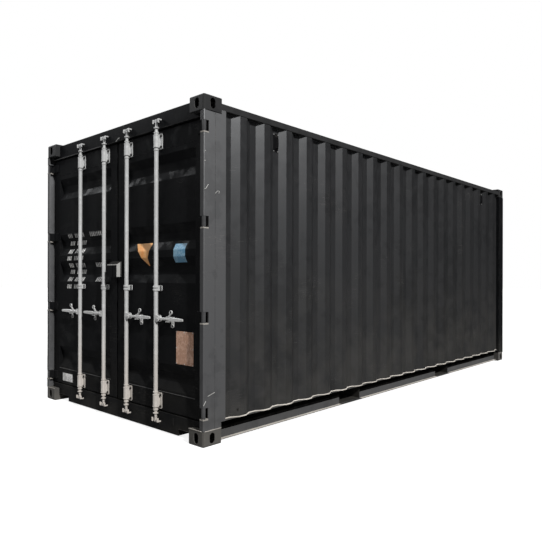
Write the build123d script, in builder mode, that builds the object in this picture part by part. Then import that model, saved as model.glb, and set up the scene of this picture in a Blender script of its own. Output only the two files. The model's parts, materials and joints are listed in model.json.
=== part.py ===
from build123d import *
import math
import os

# A 20 ft steel dry freight container, in millimetres.
# The origin is at the middle of the footprint, on the ground. The doors are at -Y.
# Depths are measured inwards from the outer face of the door end.

# Overall size, over the corner castings
length = 6058.0
width = 2438.0
height = 2591.0
half_length = length / 2
half_width = width / 2

# Corner castings
casting_length = 178.0
casting_width = 162.0
casting_height = 118.0
casting_wall = 12.0
casting_thick_wall = 28.0
casting_corner_radius = 18.0
casting_edge_radius = 13.0
top_hole_length = 124.0
top_hole_width = 63.5
top_hole_from_end = 101.5
top_hole_from_side = 89.0
side_hole_height = 79.5
side_hole_width = 51.0

# Levels
underside = 12.5
floor_underside = 140.0
floor_thickness = 28.0
bottom_rail_top = 162.0
sill_top = 165.0
top_frame_bottom = height - casting_height
top_rail_width = 60.0
top_rail_height = 50.0
roof_drop = 40.0
roof_seat = height - roof_drop
top_rail_bottom = roof_seat - top_rail_height

# Posts at the door end: an outer channel that carries the hinges, and an inner box
post_plate = 12.0
channel_depth = 113.0
channel_width = 40.0
post_box_depth = 222.0
post_box_width = 49.0
post_box_wall = 6.0
post_corner_radius = 8.0
overshoot = 1.0

# Posts at the closed end
front_post_length = 167.0
front_post_width = 155.0
front_post_return = 44.0
front_post_wall = 6.0

# Header over the doors and sill under them
frame_face_depth = 52.0
header_drop = 33.0
header_bottom = top_frame_bottom - header_drop
header_top_drop = 16.0
header_top = height - header_top_drop
header_lip = 8.0
header_depth = 80.0
header_wall = 4.0
sill_depth = 106.0
sill_wall = 6.0
sill_recess_length = 190.0
sill_recess_top = 66.0

# Hinges
pin_radius = 12.0
pin_side_inset = 15.0
pin_depth = 15.0
pin_x = half_width - pin_side_inset
knuckle_radius = 15.0
knuckle_height = 78.0
knuckle_gap = 1.0
knuckle_bevel = 10.0
lug_thickness = 12.0
lug_width = 38.0
notch_depth = 50.0
running_clearance = 0.05
hinge_count = 4
hinge_from_edge = 72.0

# Rails and wall sheets
top_rail_wall = 3.0
top_rail_inset = 2.0
bottom_rail_inset = 5.0
bottom_rail_flange = 64.0
bottom_rail_lip = 30.0
bottom_rail_wall = 4.5
end_rail_depth = 60.0
end_rail_inset = 7.0
sheet = 2.0
fold_radius = 11.0
wave_outer = 72.0
wave_inner = 70.0
wave_depth = 36.0
wave_count = 20
wall_end_flat = 157.5
wall_outer_inset = 6.0
front_wave_outer = 110.0
front_wave_slope = 18.0
front_wave_depth = 46.0
front_wave_count = 8
front_end_flat = 134.0
front_wall_inset = 1.0

# Roof
roof_sheet = 2.0
roof_inset = 29.0
roof_rib_count = 27
roof_rib_width = 91.0
roof_rib_height = 18.0
roof_rib_taper = 34.0
roof_rib_side_margin = 169.0
roof_rib_end_margin = 134.0
corner_plate_length = 240.0
corner_plate_thickness = 6.0

# Base frame
member_web = 4.0
member_flange = 45.0
pocket_centre = 1040.0
pocket_width = 360.0
pocket_wall = 6.0
strap_length = 300.0
middle_members = 7
middle_pitch = 240.0
end_members = 6
end_member_start = 1330.0
end_member_gap = 26.0

# Ventilators, set in the hollows of the side walls
vent_width = 70.0
vent_back_width = 61.0
vent_height = 150.0
vent_drop = 170.0
vent_depth = 22.0
vent_waves = (1, 17)
seat_gap = 0.3

# Door leaves
leaf_step = 6.0
leaf_face_depth = frame_face_depth + leaf_step
leaf_thickness = 50.0
leaf_gap = 12.0
leaf_bottom = sill_top + leaf_gap
leaf_top = header_bottom - leaf_gap
leaf_inner_x = 10.0
leaf_side_gap = 44.0
leaf_outer_x = pin_x - leaf_side_gap
stile_width = 100.0
leaf_rail_height = 150.0
leaf_tube_wall = 3.2
swage_depth = 36.0
swage_slope = 68.0
swage_flat = 70.0
swage_height = 2 * swage_slope + swage_flat
low_swage_rise = 20.0
high_swage_drop = 47.0
middle_swage_gap = 58.0
middle_swage_shift = 132.5
gasket_thickness = 12.0
gasket_rear_gap = 2.0
gasket_side_lip = 13.0
gasket_lip = 4.0
strap_thickness = 12.0
strap_grip = 70.0

# Locking gear
bar_standoff = 28.0
bar_depth = leaf_face_depth - bar_standoff
bar_radius = 17.0
bar_wall = 3.5
bar_top_drop = 117.0
bar_top = height - bar_top_drop
bar_bottom = 128.0
inner_bar_inset = 172.0
bar_share = 0.367
bar_spacing = bar_share * (leaf_outer_x - leaf_inner_x)
bar_places = (leaf_inner_x + inner_bar_inset, leaf_inner_x + inner_bar_inset + bar_spacing)
collar_radius = 20.5
collar_height = 10.0
collar_gap = 1.0
guide_height = 128.0
guide_rise = 10.0
guide_drop = 23.0
guide_spans = (
    (leaf_bottom + guide_rise, leaf_bottom + guide_rise + guide_height),
    (leaf_top - guide_drop - guide_height, leaf_top - guide_drop),
)
guide_radius = 22.5
guide_ear = 27.0
guide_plate = 6.0
guide_hood_inset = 12.0
ear_radius = 9.0
cam_reach = 26.0
cam_back = 12.0
cam_neck = 10.0
cam_thickness = 16.0
cam_root = 20.0
cam_shoulder = 8.0
cam_saddle = 24.0
cam_horn = 44.0
cam_horn_width = 7.0
keeper_thickness = 8.0
keeper_near_side = 28.0
keeper_far_side = 32.0
keeper_reach = 38.0
keeper_height = 50.0
keeper_overlap = 2.0
keeper_radius = 10.0

# Handles, their hubs, rests and catches
handle_level = 915.0
middle_guide_rise = 242.0
middle_guide_height = 44.0
hub_reach = 56.0
hub_height = 52.0
hub_slot = 22.0
hub_slot_start = 19.0
handle_pin_radius = 7.0
handle_pin_reach = 40.0
handle_eye_radius = 19.0
handle_side_gap = 0.5
handle_blade_thickness = 11.0
handle_clearance = 76.0
handle_length = bar_spacing - handle_clearance
handle_root_width = 34.0
handle_rest_width = 30.0
handle_tip_width = 20.0
handle_tip_radius = 6.0
rest_reach = 187.0
rest_eye_drop = 54.0
rest_eye_radius = 16.0
eye_hole_radius = 6.5
rest_plate = 6.0
rest_pad = 17.0
shelf_length = 34.0
catch_pivot_reach = 120.0
catch_thickness = 8.0
catch_standoff = 24.0
catch_arm_width = 16.0
catch_boss_radius = 12.0
catch_sag = 14.0
catch_pin_radius = 6.0

# Lock box, halved at the gap between the doors
lock_box_bottom = 1246.0
lock_box_front_height = 111.0
lock_box_back_height = 142.0
lock_box_front_depth = 6.0
lock_box_left = 86.0
lock_box_right = 63.0
lock_box_gap = 4.0
lock_box_wall = 4.0


def end_plane(depth):
    """Upright plane at a depth behind the door end, seen from outside: X right, Z up."""
    return Plane(origin=(0, depth - half_length, 0), x_dir=(1, 0, 0), z_dir=(0, -1, 0))


def side_plane(x):
    """Upright plane across the width, facing +X: Y to the right, Z up."""
    return Plane(origin=(x, 0, 0), x_dir=(0, 1, 0), z_dir=(1, 0, 0))


def level(z):
    """Level plane at a height."""
    return Plane.XY.offset(z)


def y_at(depth):
    """Y of a depth behind the door end."""
    return depth - half_length


def rectangle(x0, y0, x1, y1, mode=Mode.ADD):
    """Rectangle between two corners of the sketch plane."""
    with Locations(((x0 + x1) / 2, (y0 + y1) / 2)):
        Rectangle(abs(x1 - x0), abs(y1 - y0), mode=mode)


def offset_line(line, thickness):
    """The same folded line moved to its left by a thickness, with mitred corners."""
    moved = []
    for i, (x, y) in enumerate(line):
        normals = []
        for first, second in ((i - 1, i), (i, i + 1)):
            if first >= 0 and second < len(line):
                across, along = line[second][0] - line[first][0], line[second][1] - line[first][1]
                size = math.hypot(across, along)
                normals.append((-along / size, across / size))
        (ax, ay), (bx, by) = normals[0], normals[-1]
        factor = thickness / (1 + ax * bx + ay * by)
        moved.append((x + factor * (ax + bx), y + factor * (ay + by)))
    return moved


def folded_sheet(line, thickness):
    """Section of a sheet folded along a line, with round folds."""
    back = offset_line(line, thickness)
    with BuildSketch() as section:
        with BuildLine():
            FilletPolyline(*line, radius=fold_radius)
            FilletPolyline(*back, radius=fold_radius)
            Line(line[0], back[0])
            Line(line[-1], back[-1])
        make_face()
    return section.sketch


def save(part, name):
    """Write one sub-part under the name of its node."""
    part.label = name
    export_step(part, os.path.join("parts", name + ".step"))


os.makedirs("parts", exist_ok=True)


# Corner castings: hollow boxes with a hole in the level face, the side and the end

def corner_castings(bottom, hole_face_up):
    """Four castings whose lower faces are at one level."""
    x0 = half_width - casting_width
    y0 = -half_length
    y1 = y0 + casting_length
    middle_z = bottom + casting_height / 2
    cavity_bottom = bottom + (casting_wall if hole_face_up else casting_thick_wall)
    cavity_height = casting_height - casting_wall - casting_thick_wall
    with BuildPart() as castings:
        with BuildSketch(level(bottom)):
            rectangle(x0, y0, half_width, y1)
        extrude(amount=casting_height)
        outer_edge = castings.edges().filter_by(Axis.Z).sort_by(Axis.X)[-2:].sort_by(Axis.Y)[0]
        fillet(outer_edge, casting_corner_radius)
        faces = castings.faces().sort_by(Axis.Z)
        hole_face = faces[-1] if hole_face_up else faces[0]
        outer = [
            e for e in hole_face.edges()
            if e.center().X > half_width - casting_width / 4 or e.center().Y < y0 + casting_length / 4
        ]
        fillet(outer, casting_edge_radius)
        with BuildSketch(level(cavity_bottom)):
            rectangle(x0 + casting_wall, y0 + casting_wall, half_width - casting_wall, y1 - casting_wall)
        extrude(amount=cavity_height, mode=Mode.SUBTRACT)
        with BuildSketch(level(middle_z)):
            with Locations((half_width - top_hole_from_side, y0 + top_hole_from_end)):
                SlotOverall(top_hole_length, top_hole_width, rotation=90)
        extrude(amount=casting_height if hole_face_up else -casting_height, mode=Mode.SUBTRACT)
        with BuildSketch(side_plane(half_width - casting_width / 2)):
            with Locations((y0 + casting_length / 2, middle_z)):
                SlotOverall(side_hole_height, side_hole_width, rotation=90)
        extrude(amount=casting_width, mode=Mode.SUBTRACT)
        with BuildSketch(end_plane(casting_length / 2)):
            with Locations((x0 + casting_width / 2, middle_z)):
                SlotOverall(side_hole_height, side_hole_width, rotation=90)
        extrude(amount=casting_length, mode=Mode.SUBTRACT)
        mirror(about=Plane.YZ)
        mirror(about=Plane.XZ)
    return castings.part


save(corner_castings(top_frame_bottom, True), "top_castings")
save(corner_castings(0, False), "bottom_castings")


# Posts at the door end

notch_height = knuckle_height + 2 * knuckle_gap
hinge_pitch = (leaf_top - leaf_bottom - 2 * hinge_from_edge) / (hinge_count - 1)
hinge_levels = [leaf_bottom + hinge_from_edge + hinge_pitch * i for i in range(hinge_count)]

with BuildPart() as rear_posts:
    with BuildSketch(level(casting_height)):
        rectangle(half_width - channel_width, y_at(0), half_width, y_at(channel_depth))
        rectangle(
            half_width - channel_width - overshoot, y_at(post_plate), half_width - post_plate,
            y_at(channel_depth - post_plate), mode=Mode.SUBTRACT,
        )
    extrude(amount=top_frame_bottom - casting_height)
    with BuildSketch(level(casting_height)):
        rectangle(half_width - post_box_width, y_at(channel_depth), half_width, y_at(post_box_depth))
        rectangle(
            half_width - post_box_width + post_box_wall, y_at(channel_depth + post_box_wall),
            half_width - post_box_wall, y_at(post_box_depth - post_box_wall), mode=Mode.SUBTRACT,
        )
    extrude(amount=top_rail_bottom - casting_height)
    post_box_inner_x = half_width - post_box_width - overshoot
    with BuildSketch(level(top_frame_bottom)):
        rectangle(post_box_inner_x, y_at(0), half_width + overshoot, y_at(casting_length))
    extrude(amount=casting_height, mode=Mode.SUBTRACT)
    with BuildSketch(level(casting_height)):
        rectangle(
            post_box_inner_x, y_at(casting_length), half_width + overshoot, y_at(post_box_depth + overshoot),
        )
    extrude(amount=bottom_rail_top - casting_height, mode=Mode.SUBTRACT)
    corner = rear_posts.edges().filter_by(Axis.Z).group_by(Axis.Y)[0].sort_by(Axis.X)[-1]
    fillet(corner, post_corner_radius)
    for hinge_z in hinge_levels:
        with BuildSketch(level(hinge_z - notch_height / 2)):
            rectangle(half_width - channel_width, y_at(0), half_width, y_at(notch_depth))
        extrude(amount=notch_height, mode=Mode.SUBTRACT)
        for lug_z in (hinge_z - notch_height / 2 - lug_thickness, hinge_z + notch_height / 2):
            with BuildSketch(level(lug_z)):
                rectangle(
                    half_width - lug_width, y_at(post_plate / 2),
                    half_width - post_plate / 2, y_at(notch_depth),
                )
            extrude(amount=lug_thickness)
        with BuildSketch(level(hinge_z - notch_height / 2 - lug_thickness)):
            with Locations((pin_x, y_at(pin_depth))):
                Circle(pin_radius + running_clearance)
        extrude(amount=notch_height + 2 * lug_thickness, mode=Mode.SUBTRACT)
    mirror(about=Plane.YZ)
save(rear_posts.part, "rear_posts")

with BuildPart() as hinge_pins:
    for hinge_z in hinge_levels:
        with BuildSketch(level(hinge_z - notch_height / 2 - lug_thickness)):
            with Locations((pin_x, y_at(pin_depth)), (-pin_x, y_at(pin_depth))):
                Circle(pin_radius)
        extrude(amount=notch_height + 2 * lug_thickness)
save(hinge_pins.part, "hinge_pins")


# Posts at the closed end: plates bent to an open section

with BuildPart() as front_posts:
    with BuildSketch(level(casting_height)):
        post_inner_x = half_width - front_post_width
        post_rear_y = half_length - front_post_length
        rectangle(post_inner_x, post_rear_y, half_width, half_length)
        rectangle(
            post_inner_x + front_post_wall, post_rear_y + front_post_wall,
            half_width - front_post_wall, half_length - front_post_wall, mode=Mode.SUBTRACT,
        )
        rectangle(
            post_inner_x, post_rear_y,
            half_width - front_post_return, half_length - front_post_return, mode=Mode.SUBTRACT,
        )
    extrude(amount=top_frame_bottom - casting_height)
    mirror(about=Plane.YZ)
save(front_posts.part, "front_posts")


# Header and sill

between_castings = half_width - casting_width
between_posts = half_width - post_box_width

with BuildPart() as door_header:
    with BuildSketch(side_plane(-between_castings)) as header_section:
        with BuildLine():
            Polyline(
                (y_at(frame_face_depth), top_frame_bottom),
                (y_at(frame_face_depth), header_top),
                (y_at(frame_face_depth + header_lip), header_top),
                (y_at(frame_face_depth + header_depth), roof_seat),
                (y_at(frame_face_depth + header_depth), top_frame_bottom),
                close=True,
            )
        make_face()
    extrude(amount=2 * between_castings)
    with BuildSketch(side_plane(-between_posts)):
        rectangle(
            y_at(frame_face_depth), header_bottom,
            y_at(frame_face_depth + header_depth), top_frame_bottom,
        )
    extrude(amount=2 * between_posts)
    with BuildSketch(side_plane(-between_castings)):
        rectangle(
            y_at(frame_face_depth + header_wall), header_bottom + header_wall,
            y_at(frame_face_depth + header_depth - header_wall), roof_seat - header_wall,
        )
    extrude(amount=2 * between_castings, mode=Mode.SUBTRACT)
save(door_header.part, "door_header")

with BuildPart() as door_sill:
    with BuildSketch(side_plane(-between_posts)):
        rectangle(y_at(frame_face_depth), casting_height, y_at(frame_face_depth + sill_depth), sill_top)
        rectangle(
            y_at(frame_face_depth + sill_wall), casting_height + sill_wall,
            y_at(frame_face_depth + sill_depth - sill_wall), sill_top - sill_wall, mode=Mode.SUBTRACT,
        )
    extrude(amount=2 * between_posts)
    recess_x = between_castings - sill_recess_length
    for half, bottom in ((between_castings, sill_recess_top), (recess_x, underside)):
        with BuildSketch(side_plane(-half)):
            rectangle(y_at(frame_face_depth), bottom, y_at(frame_face_depth + sill_depth), casting_height)
        extrude(amount=2 * half)
    for half, bottom in ((between_castings, sill_recess_top), (recess_x - sill_wall, underside)):
        with BuildSketch(side_plane(-half)):
            rectangle(
                y_at(frame_face_depth + sill_wall), bottom + sill_wall,
                y_at(frame_face_depth + sill_depth - sill_wall), casting_height,
            )
        extrude(amount=2 * half, mode=Mode.SUBTRACT)
    with BuildSketch(side_plane(-between_castings)):
        rectangle(
            y_at(frame_face_depth + sill_depth - sill_wall), underside,
            y_at(frame_face_depth + sill_depth), sill_recess_top,
        )
    extrude(amount=2 * between_castings)
save(door_sill.part, "door_sill")


# Rails along the top and the bottom

rail_start = y_at(casting_length)
rail_end = half_length - casting_length

with BuildPart() as top_side_rails:
    with BuildSketch(Plane.XZ.offset(-rail_end)):
        rail_outer_x = half_width - top_rail_inset
        rectangle(rail_outer_x - top_rail_width, top_rail_bottom, rail_outer_x, roof_seat)
        rectangle(
            rail_outer_x - top_rail_width + top_rail_wall, top_rail_bottom + top_rail_wall,
            rail_outer_x - top_rail_wall, roof_seat - top_rail_wall, mode=Mode.SUBTRACT,
        )
    extrude(amount=rail_end - rail_start)
    mirror(about=Plane.YZ)
save(top_side_rails.part, "top_side_rails")

rail_web_x = half_width - bottom_rail_inset - bottom_rail_flange
rail_inner_x = rail_web_x - bottom_rail_wall

pocket_edges = (pocket_centre - pocket_width / 2, pocket_centre + pocket_width / 2)
pocket_ceiling = floor_underside - pocket_wall

with BuildPart() as bottom_side_rails:
    for y0, y1 in (
        (rail_start, -pocket_edges[1]), (-pocket_edges[0], pocket_edges[0]), (pocket_edges[1], rail_end),
    ):
        with BuildSketch(Plane.XZ.offset(-y1)):
            rectangle(rail_inner_x, underside, rail_web_x, bottom_rail_top)
            rectangle(
                rail_web_x, bottom_rail_top - bottom_rail_wall,
                rail_web_x + bottom_rail_flange, bottom_rail_top,
            )
            rectangle(rail_web_x, underside, rail_web_x + bottom_rail_lip, underside + bottom_rail_wall)
        extrude(amount=y1 - y0)
    mirror(about=Plane.YZ)
save(bottom_side_rails.part, "bottom_side_rails")

with BuildPart() as rail_bridges:
    for y1 in (-pocket_edges[0], pocket_edges[1]):
        with BuildSketch(Plane.XZ.offset(-y1)):
            rectangle(rail_inner_x, pocket_ceiling, rail_web_x, bottom_rail_top)
            rectangle(
                rail_web_x, bottom_rail_top - bottom_rail_wall,
                rail_web_x + bottom_rail_flange, bottom_rail_top,
            )
            rectangle(rail_inner_x, underside, rail_web_x, underside + pocket_wall)
            rectangle(rail_web_x, underside, rail_web_x + bottom_rail_lip, underside + bottom_rail_wall)
        extrude(amount=pocket_width)
    mirror(about=Plane.YZ)
save(rail_bridges.part, "rail_bridges")

end_rail_outer = half_length - end_rail_inset


with BuildPart() as front_rails:
    with BuildSketch(side_plane(-between_castings)):
        for bottom, top in ((underside, bottom_rail_top), (top_frame_bottom, roof_seat)):
            rectangle(end_rail_outer - end_rail_depth, bottom, end_rail_outer, top)
            rectangle(
                end_rail_outer - end_rail_depth + header_wall, bottom + header_wall,
                end_rail_outer - header_wall, top - header_wall, mode=Mode.SUBTRACT,
            )
    extrude(amount=2 * between_castings)
save(front_rails.part, "front_rails")


# Corrugated walls

wall_outer_x = half_width - wall_outer_inset
wall_inner_x = wall_outer_x - wave_depth
wall_start = y_at(post_box_depth)
wall_end = half_length - front_post_length
first_wave = wall_start + wall_end_flat
wave_pitch = (wall_end - wall_start - 2 * wall_end_flat - wave_outer) / (wave_count - 1)
wave_slope = (wave_pitch - wave_outer - wave_inner) / 2

with BuildPart() as side_walls:
    wall_line = [(wall_inner_x, wall_start)]
    for wave in range(wave_count):
        y = first_wave + wave * wave_pitch
        wall_line.append((wall_inner_x, y - wave_slope))
        wall_line.append((wall_outer_x, y))
        wall_line.append((wall_outer_x, y + wave_outer))
        wall_line.append((wall_inner_x, y + wave_outer + wave_slope))
    wall_line.append((wall_inner_x, wall_end))
    with BuildSketch(level(bottom_rail_top)):
        add(folded_sheet(wall_line, sheet))
    extrude(amount=top_rail_bottom - bottom_rail_top)
    with BuildSketch(level(top_frame_bottom)):
        rectangle(wall_inner_x - front_post_wall, rail_end, half_width, wall_end + overshoot)
    extrude(amount=casting_height, mode=Mode.SUBTRACT)
    mirror(about=Plane.YZ)
save(side_walls.part, "side_walls")

with BuildPart() as front_wall:
    front_half = half_width - front_post_width
    front_pitch = (2 * front_half - 2 * front_end_flat - front_wave_outer) / (front_wave_count - 1)
    front_y = end_rail_outer - front_wall_inset
    front_inner_y = front_y - front_wave_depth
    front_line = [(-front_half, front_inner_y)]
    for wave in range(front_wave_count):
        x = -front_half + front_end_flat + wave * front_pitch
        front_line.append((x - front_wave_slope, front_inner_y))
        front_line.append((x, front_y))
        front_line.append((x + front_wave_outer, front_y))
        front_line.append((x + front_wave_outer + front_wave_slope, front_inner_y))
    front_line.append((front_half, front_inner_y))
    with BuildSketch(level(bottom_rail_top)):
        add(folded_sheet(front_line, -sheet))
    extrude(amount=top_frame_bottom - bottom_rail_top)
save(front_wall.part, "front_wall")


# Roof: one sheet with pressed ribs across it, and plates at its corners

roof_half_width = half_width - roof_inset
roof_start = y_at(frame_face_depth + header_depth)

with BuildPart() as roof_panel:
    with BuildSketch(level(roof_seat)):
        rectangle(-roof_half_width, rail_start, roof_half_width, rail_end)
        rectangle(-between_castings, roof_start, between_castings, end_rail_outer)
    extrude(amount=roof_sheet)
    rib_pitch = (rail_end - rail_start - 2 * roof_rib_end_margin) / (roof_rib_count - 1)
    rib_rows = GridLocations(0, rib_pitch, 1, roof_rib_count)
    rib_length = 2 * (half_width - roof_rib_side_margin)
    rib_foot = roof_rib_width + 2 * roof_rib_height * math.tan(math.radians(roof_rib_taper))
    with BuildSketch(level(roof_seat + roof_sheet)):
        with rib_rows:
            Rectangle(rib_length, rib_foot)
    extrude(amount=roof_rib_height, taper=roof_rib_taper)
    with BuildSketch(level(roof_seat)):
        with rib_rows:
            Rectangle(rib_length - 2 * roof_sheet, rib_foot - 2 * roof_sheet)
    extrude(amount=roof_rib_height, taper=roof_rib_taper, mode=Mode.SUBTRACT)
save(roof_panel.part, "roof_panel")

with BuildPart() as corner_plates:
    with BuildSketch(level(roof_seat + roof_sheet)):
        rectangle(
            between_castings, rail_start, roof_half_width, rail_start + corner_plate_length,
        )
    extrude(amount=corner_plate_thickness)
    mirror(about=Plane.YZ)
    mirror(about=Plane.XZ)
save(corner_plates.part, "corner_plates")


# Base frame and floor

member_half = rail_inner_x
member_rows = [middle_pitch * (i - (middle_members - 1) / 2) for i in range(middle_members)]
end_pitch = (rail_end - end_member_gap - member_flange - end_member_start) / (end_members - 1)
for i in range(end_members):
    member_rows.append(end_member_start + end_pitch * i)
    member_rows.append(-end_member_start - end_pitch * i)

with BuildPart() as cross_members:
    with BuildSketch(side_plane(-member_half)):
        for y in member_rows:
            rectangle(y, underside, y + member_flange, floor_underside)
            rectangle(
                y + member_web, underside + member_web,
                y + member_flange, floor_underside - member_web, mode=Mode.SUBTRACT,
            )
    extrude(amount=2 * member_half)
save(cross_members.part, "cross_members")

with BuildPart() as pocket_sides:
    with BuildSketch(side_plane(-member_half)):
        for side in (-1, 1):
            for edge, out in ((pocket_edges[0], -pocket_wall), (pocket_edges[1], pocket_wall)):
                rectangle(side * edge, underside, side * (edge + out), pocket_ceiling)
    extrude(amount=2 * member_half)
save(pocket_sides.part, "pocket_sides")

with BuildPart() as pocket_plates:
    with BuildSketch(level(pocket_ceiling)):
        for side in (-1, 1):
            rectangle(
                -member_half, side * (pocket_edges[0] - pocket_wall),
                member_half, side * (pocket_edges[1] + pocket_wall),
            )
    extrude(amount=pocket_wall)
    with BuildSketch(level(underside)):
        for y in (-pocket_centre, pocket_centre):
            for side in (-1, 1):
                rectangle(
                    side * member_half, y - pocket_width / 2,
                    side * (member_half - strap_length), y + pocket_width / 2,
                )
    extrude(amount=pocket_wall)
save(pocket_plates.part, "pocket_plates")

with BuildPart() as plank_floor:
    with BuildSketch(level(floor_underside)):
        rectangle(
            -rail_inner_x, y_at(frame_face_depth + sill_depth),
            rail_inner_x, end_rail_outer - end_rail_depth,
        )
    extrude(amount=floor_thickness)
save(plank_floor.part, "plank_floor")


# Ventilators in the hollows of the side walls

with BuildPart() as ventilators:
    with BuildSketch(level(top_frame_bottom - vent_drop)):
        for wave in vent_waves:
            y = first_wave + wave * wave_pitch + wave_outer + wave_slope + wave_inner / 2
            with BuildLine():
                Polyline(
                    (wall_inner_x + seat_gap, y - vent_back_width / 2),
                    (wall_inner_x + vent_depth, y - vent_width / 2),
                    (wall_inner_x + vent_depth, y + vent_width / 2),
                    (wall_inner_x + seat_gap, y + vent_back_width / 2),
                    close=True,
                )
            make_face()
    extrude(amount=vent_height)
    mirror(about=Plane.YZ)
save(ventilators.part, "ventilators")


# Keepers on the header and the sill: two cheeks beside each cam

with BuildPart() as cam_keepers:
    keeper_bottoms = (bar_top - keeper_overlap, bar_bottom + keeper_overlap - keeper_height)
    for x in bar_places:
        for cheek_x in (x - keeper_near_side - keeper_thickness, x + keeper_far_side):
            for z in keeper_bottoms:
                with BuildSketch(side_plane(cheek_x)) as cheek:
                    rectangle(
                        y_at(frame_face_depth), z,
                        y_at(frame_face_depth - keeper_reach), z + keeper_height,
                    )
                    fillet(cheek.vertices().group_by(Axis.Y)[0], keeper_radius)
                extrude(amount=keeper_thickness)
    mirror(about=Plane.YZ)
save(cam_keepers.part, "cam_keepers")


# Door leaves. Each is drawn as the right one, and the left one is its mirror image.

leaf_back_depth = leaf_face_depth + leaf_thickness

with BuildPart() as leaf_frame:
    with BuildSketch(end_plane(leaf_back_depth)):
        rectangle(leaf_inner_x, leaf_bottom, leaf_outer_x, leaf_top)
        rectangle(
            leaf_inner_x + stile_width, leaf_bottom + leaf_rail_height,
            leaf_outer_x - stile_width, leaf_top - leaf_rail_height, mode=Mode.SUBTRACT,
        )
    extrude(amount=leaf_thickness)
    with BuildSketch(end_plane(leaf_back_depth - leaf_tube_wall)):
        rectangle(
            leaf_inner_x + leaf_tube_wall, leaf_bottom + leaf_tube_wall,
            leaf_outer_x - leaf_tube_wall, leaf_top - leaf_tube_wall,
        )
        rectangle(
            leaf_inner_x + stile_width - leaf_tube_wall, leaf_bottom + leaf_rail_height - leaf_tube_wall,
            leaf_outer_x - stile_width + leaf_tube_wall, leaf_top - leaf_rail_height + leaf_tube_wall,
            mode=Mode.SUBTRACT,
        )
    extrude(amount=leaf_thickness - 2 * leaf_tube_wall, mode=Mode.SUBTRACT)
    for hinge_z in hinge_levels:
        with BuildSketch(level(hinge_z - knuckle_height / 2)):
            with BuildLine():
                Polyline(
                    (pin_x, y_at(pin_depth - knuckle_radius)),
                    (pin_x - knuckle_bevel, y_at(pin_depth - knuckle_bevel)),
                    (leaf_outer_x, y_at(leaf_face_depth - strap_thickness)),
                    (leaf_outer_x - strap_grip, y_at(leaf_face_depth - strap_thickness)),
                    (leaf_outer_x - strap_grip, y_at(leaf_face_depth)),
                    (leaf_outer_x, y_at(leaf_face_depth)),
                    (pin_x, y_at(pin_depth + knuckle_radius)),
                    close=True,
                )
            make_face()
            with Locations((pin_x, y_at(pin_depth))):
                Circle(knuckle_radius)
                Circle(pin_radius + running_clearance, mode=Mode.SUBTRACT)
        extrude(amount=knuckle_height)

with BuildPart() as leaf_panel:
    panel_bottom = leaf_bottom + leaf_rail_height
    panel_top = leaf_top - leaf_rail_height
    swage_middle = (panel_bottom + panel_top) / 2 + middle_swage_shift
    panel_line = [(y_at(leaf_face_depth), panel_bottom)]
    for z in (
        panel_bottom + low_swage_rise,
        swage_middle - middle_swage_gap / 2 - swage_height,
        swage_middle + middle_swage_gap / 2,
        panel_top - high_swage_drop - swage_height,
    ):
        panel_line.append((y_at(leaf_face_depth), z))
        panel_line.append((y_at(leaf_face_depth + swage_depth), z + swage_slope))
        panel_line.append((y_at(leaf_face_depth + swage_depth), z + swage_slope + swage_flat))
        panel_line.append((y_at(leaf_face_depth), z + swage_height))
    panel_line.append((y_at(leaf_face_depth), panel_top))
    with BuildSketch(side_plane(leaf_inner_x + stile_width)):
        add(folded_sheet(panel_line, -sheet))
    extrude(amount=leaf_outer_x - leaf_inner_x - 2 * stile_width)

with BuildPart() as leaf_gasket:
    with BuildSketch(end_plane(leaf_back_depth - gasket_rear_gap)):
        rectangle(
            leaf_inner_x - gasket_lip, leaf_bottom - gasket_lip,
            leaf_outer_x + gasket_side_lip, leaf_top + gasket_lip,
        )
        rectangle(leaf_inner_x, leaf_bottom, leaf_outer_x, leaf_top, mode=Mode.SUBTRACT)
    extrude(amount=gasket_thickness)

with BuildPart() as bar_guides:
    middle_guide = handle_level + middle_guide_rise
    for bottom, top, inset in (
        (*guide_spans[0], guide_hood_inset),
        (middle_guide - middle_guide_height / 2, middle_guide + middle_guide_height / 2, 0),
        (*guide_spans[1], guide_hood_inset),
    ):
        for x in bar_places:
            with BuildSketch(end_plane(leaf_face_depth)) as ears:
                rectangle(x - guide_radius - guide_ear, bottom, x + guide_radius + guide_ear, top)
                fillet(ears.vertices(), ear_radius)
            extrude(amount=guide_plate)
            with BuildSketch(level(bottom + inset)):
                with Locations((x, y_at(bar_depth))):
                    Circle(guide_radius)
                rectangle(x - guide_radius, y_at(bar_depth), x + guide_radius, y_at(leaf_face_depth))
            extrude(amount=top - bottom - 2 * inset)
        with BuildSketch(level(bottom)):
            with Locations(*[(x, y_at(bar_depth)) for x in bar_places]):
                Circle(bar_radius + running_clearance)
        extrude(amount=top - bottom, mode=Mode.SUBTRACT)

with BuildPart() as handle_rests:
    shelf_top = handle_level - handle_root_width / 2 - seat_gap
    for x in bar_places:
        pivot = (x + catch_pivot_reach, handle_level)
        eye = (x + rest_reach, handle_level - rest_eye_drop)
        with BuildSketch(end_plane(leaf_face_depth)):
            rectangle(pivot[0] - rest_pad, pivot[1] - rest_pad, eye[0] + rest_pad, pivot[1] + rest_pad)
            rectangle(eye[0] - rest_eye_radius, eye[1], eye[0] + rest_eye_radius, pivot[1])
            with Locations(eye):
                Circle(rest_eye_radius)
                Circle(eye_hole_radius, mode=Mode.SUBTRACT)
        extrude(amount=rest_plate)
        with BuildSketch(end_plane(leaf_face_depth - rest_plate)):
            rectangle(
                eye[0] - rest_eye_radius - shelf_length, shelf_top - rest_plate,
                eye[0], shelf_top,
            )
        extrude(amount=leaf_face_depth - rest_plate - bar_depth + handle_blade_thickness)
        with BuildSketch(end_plane(leaf_face_depth - rest_plate)):
            with Locations(pivot):
                Circle(catch_pin_radius)
        extrude(amount=catch_standoff - rest_plate)


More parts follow.
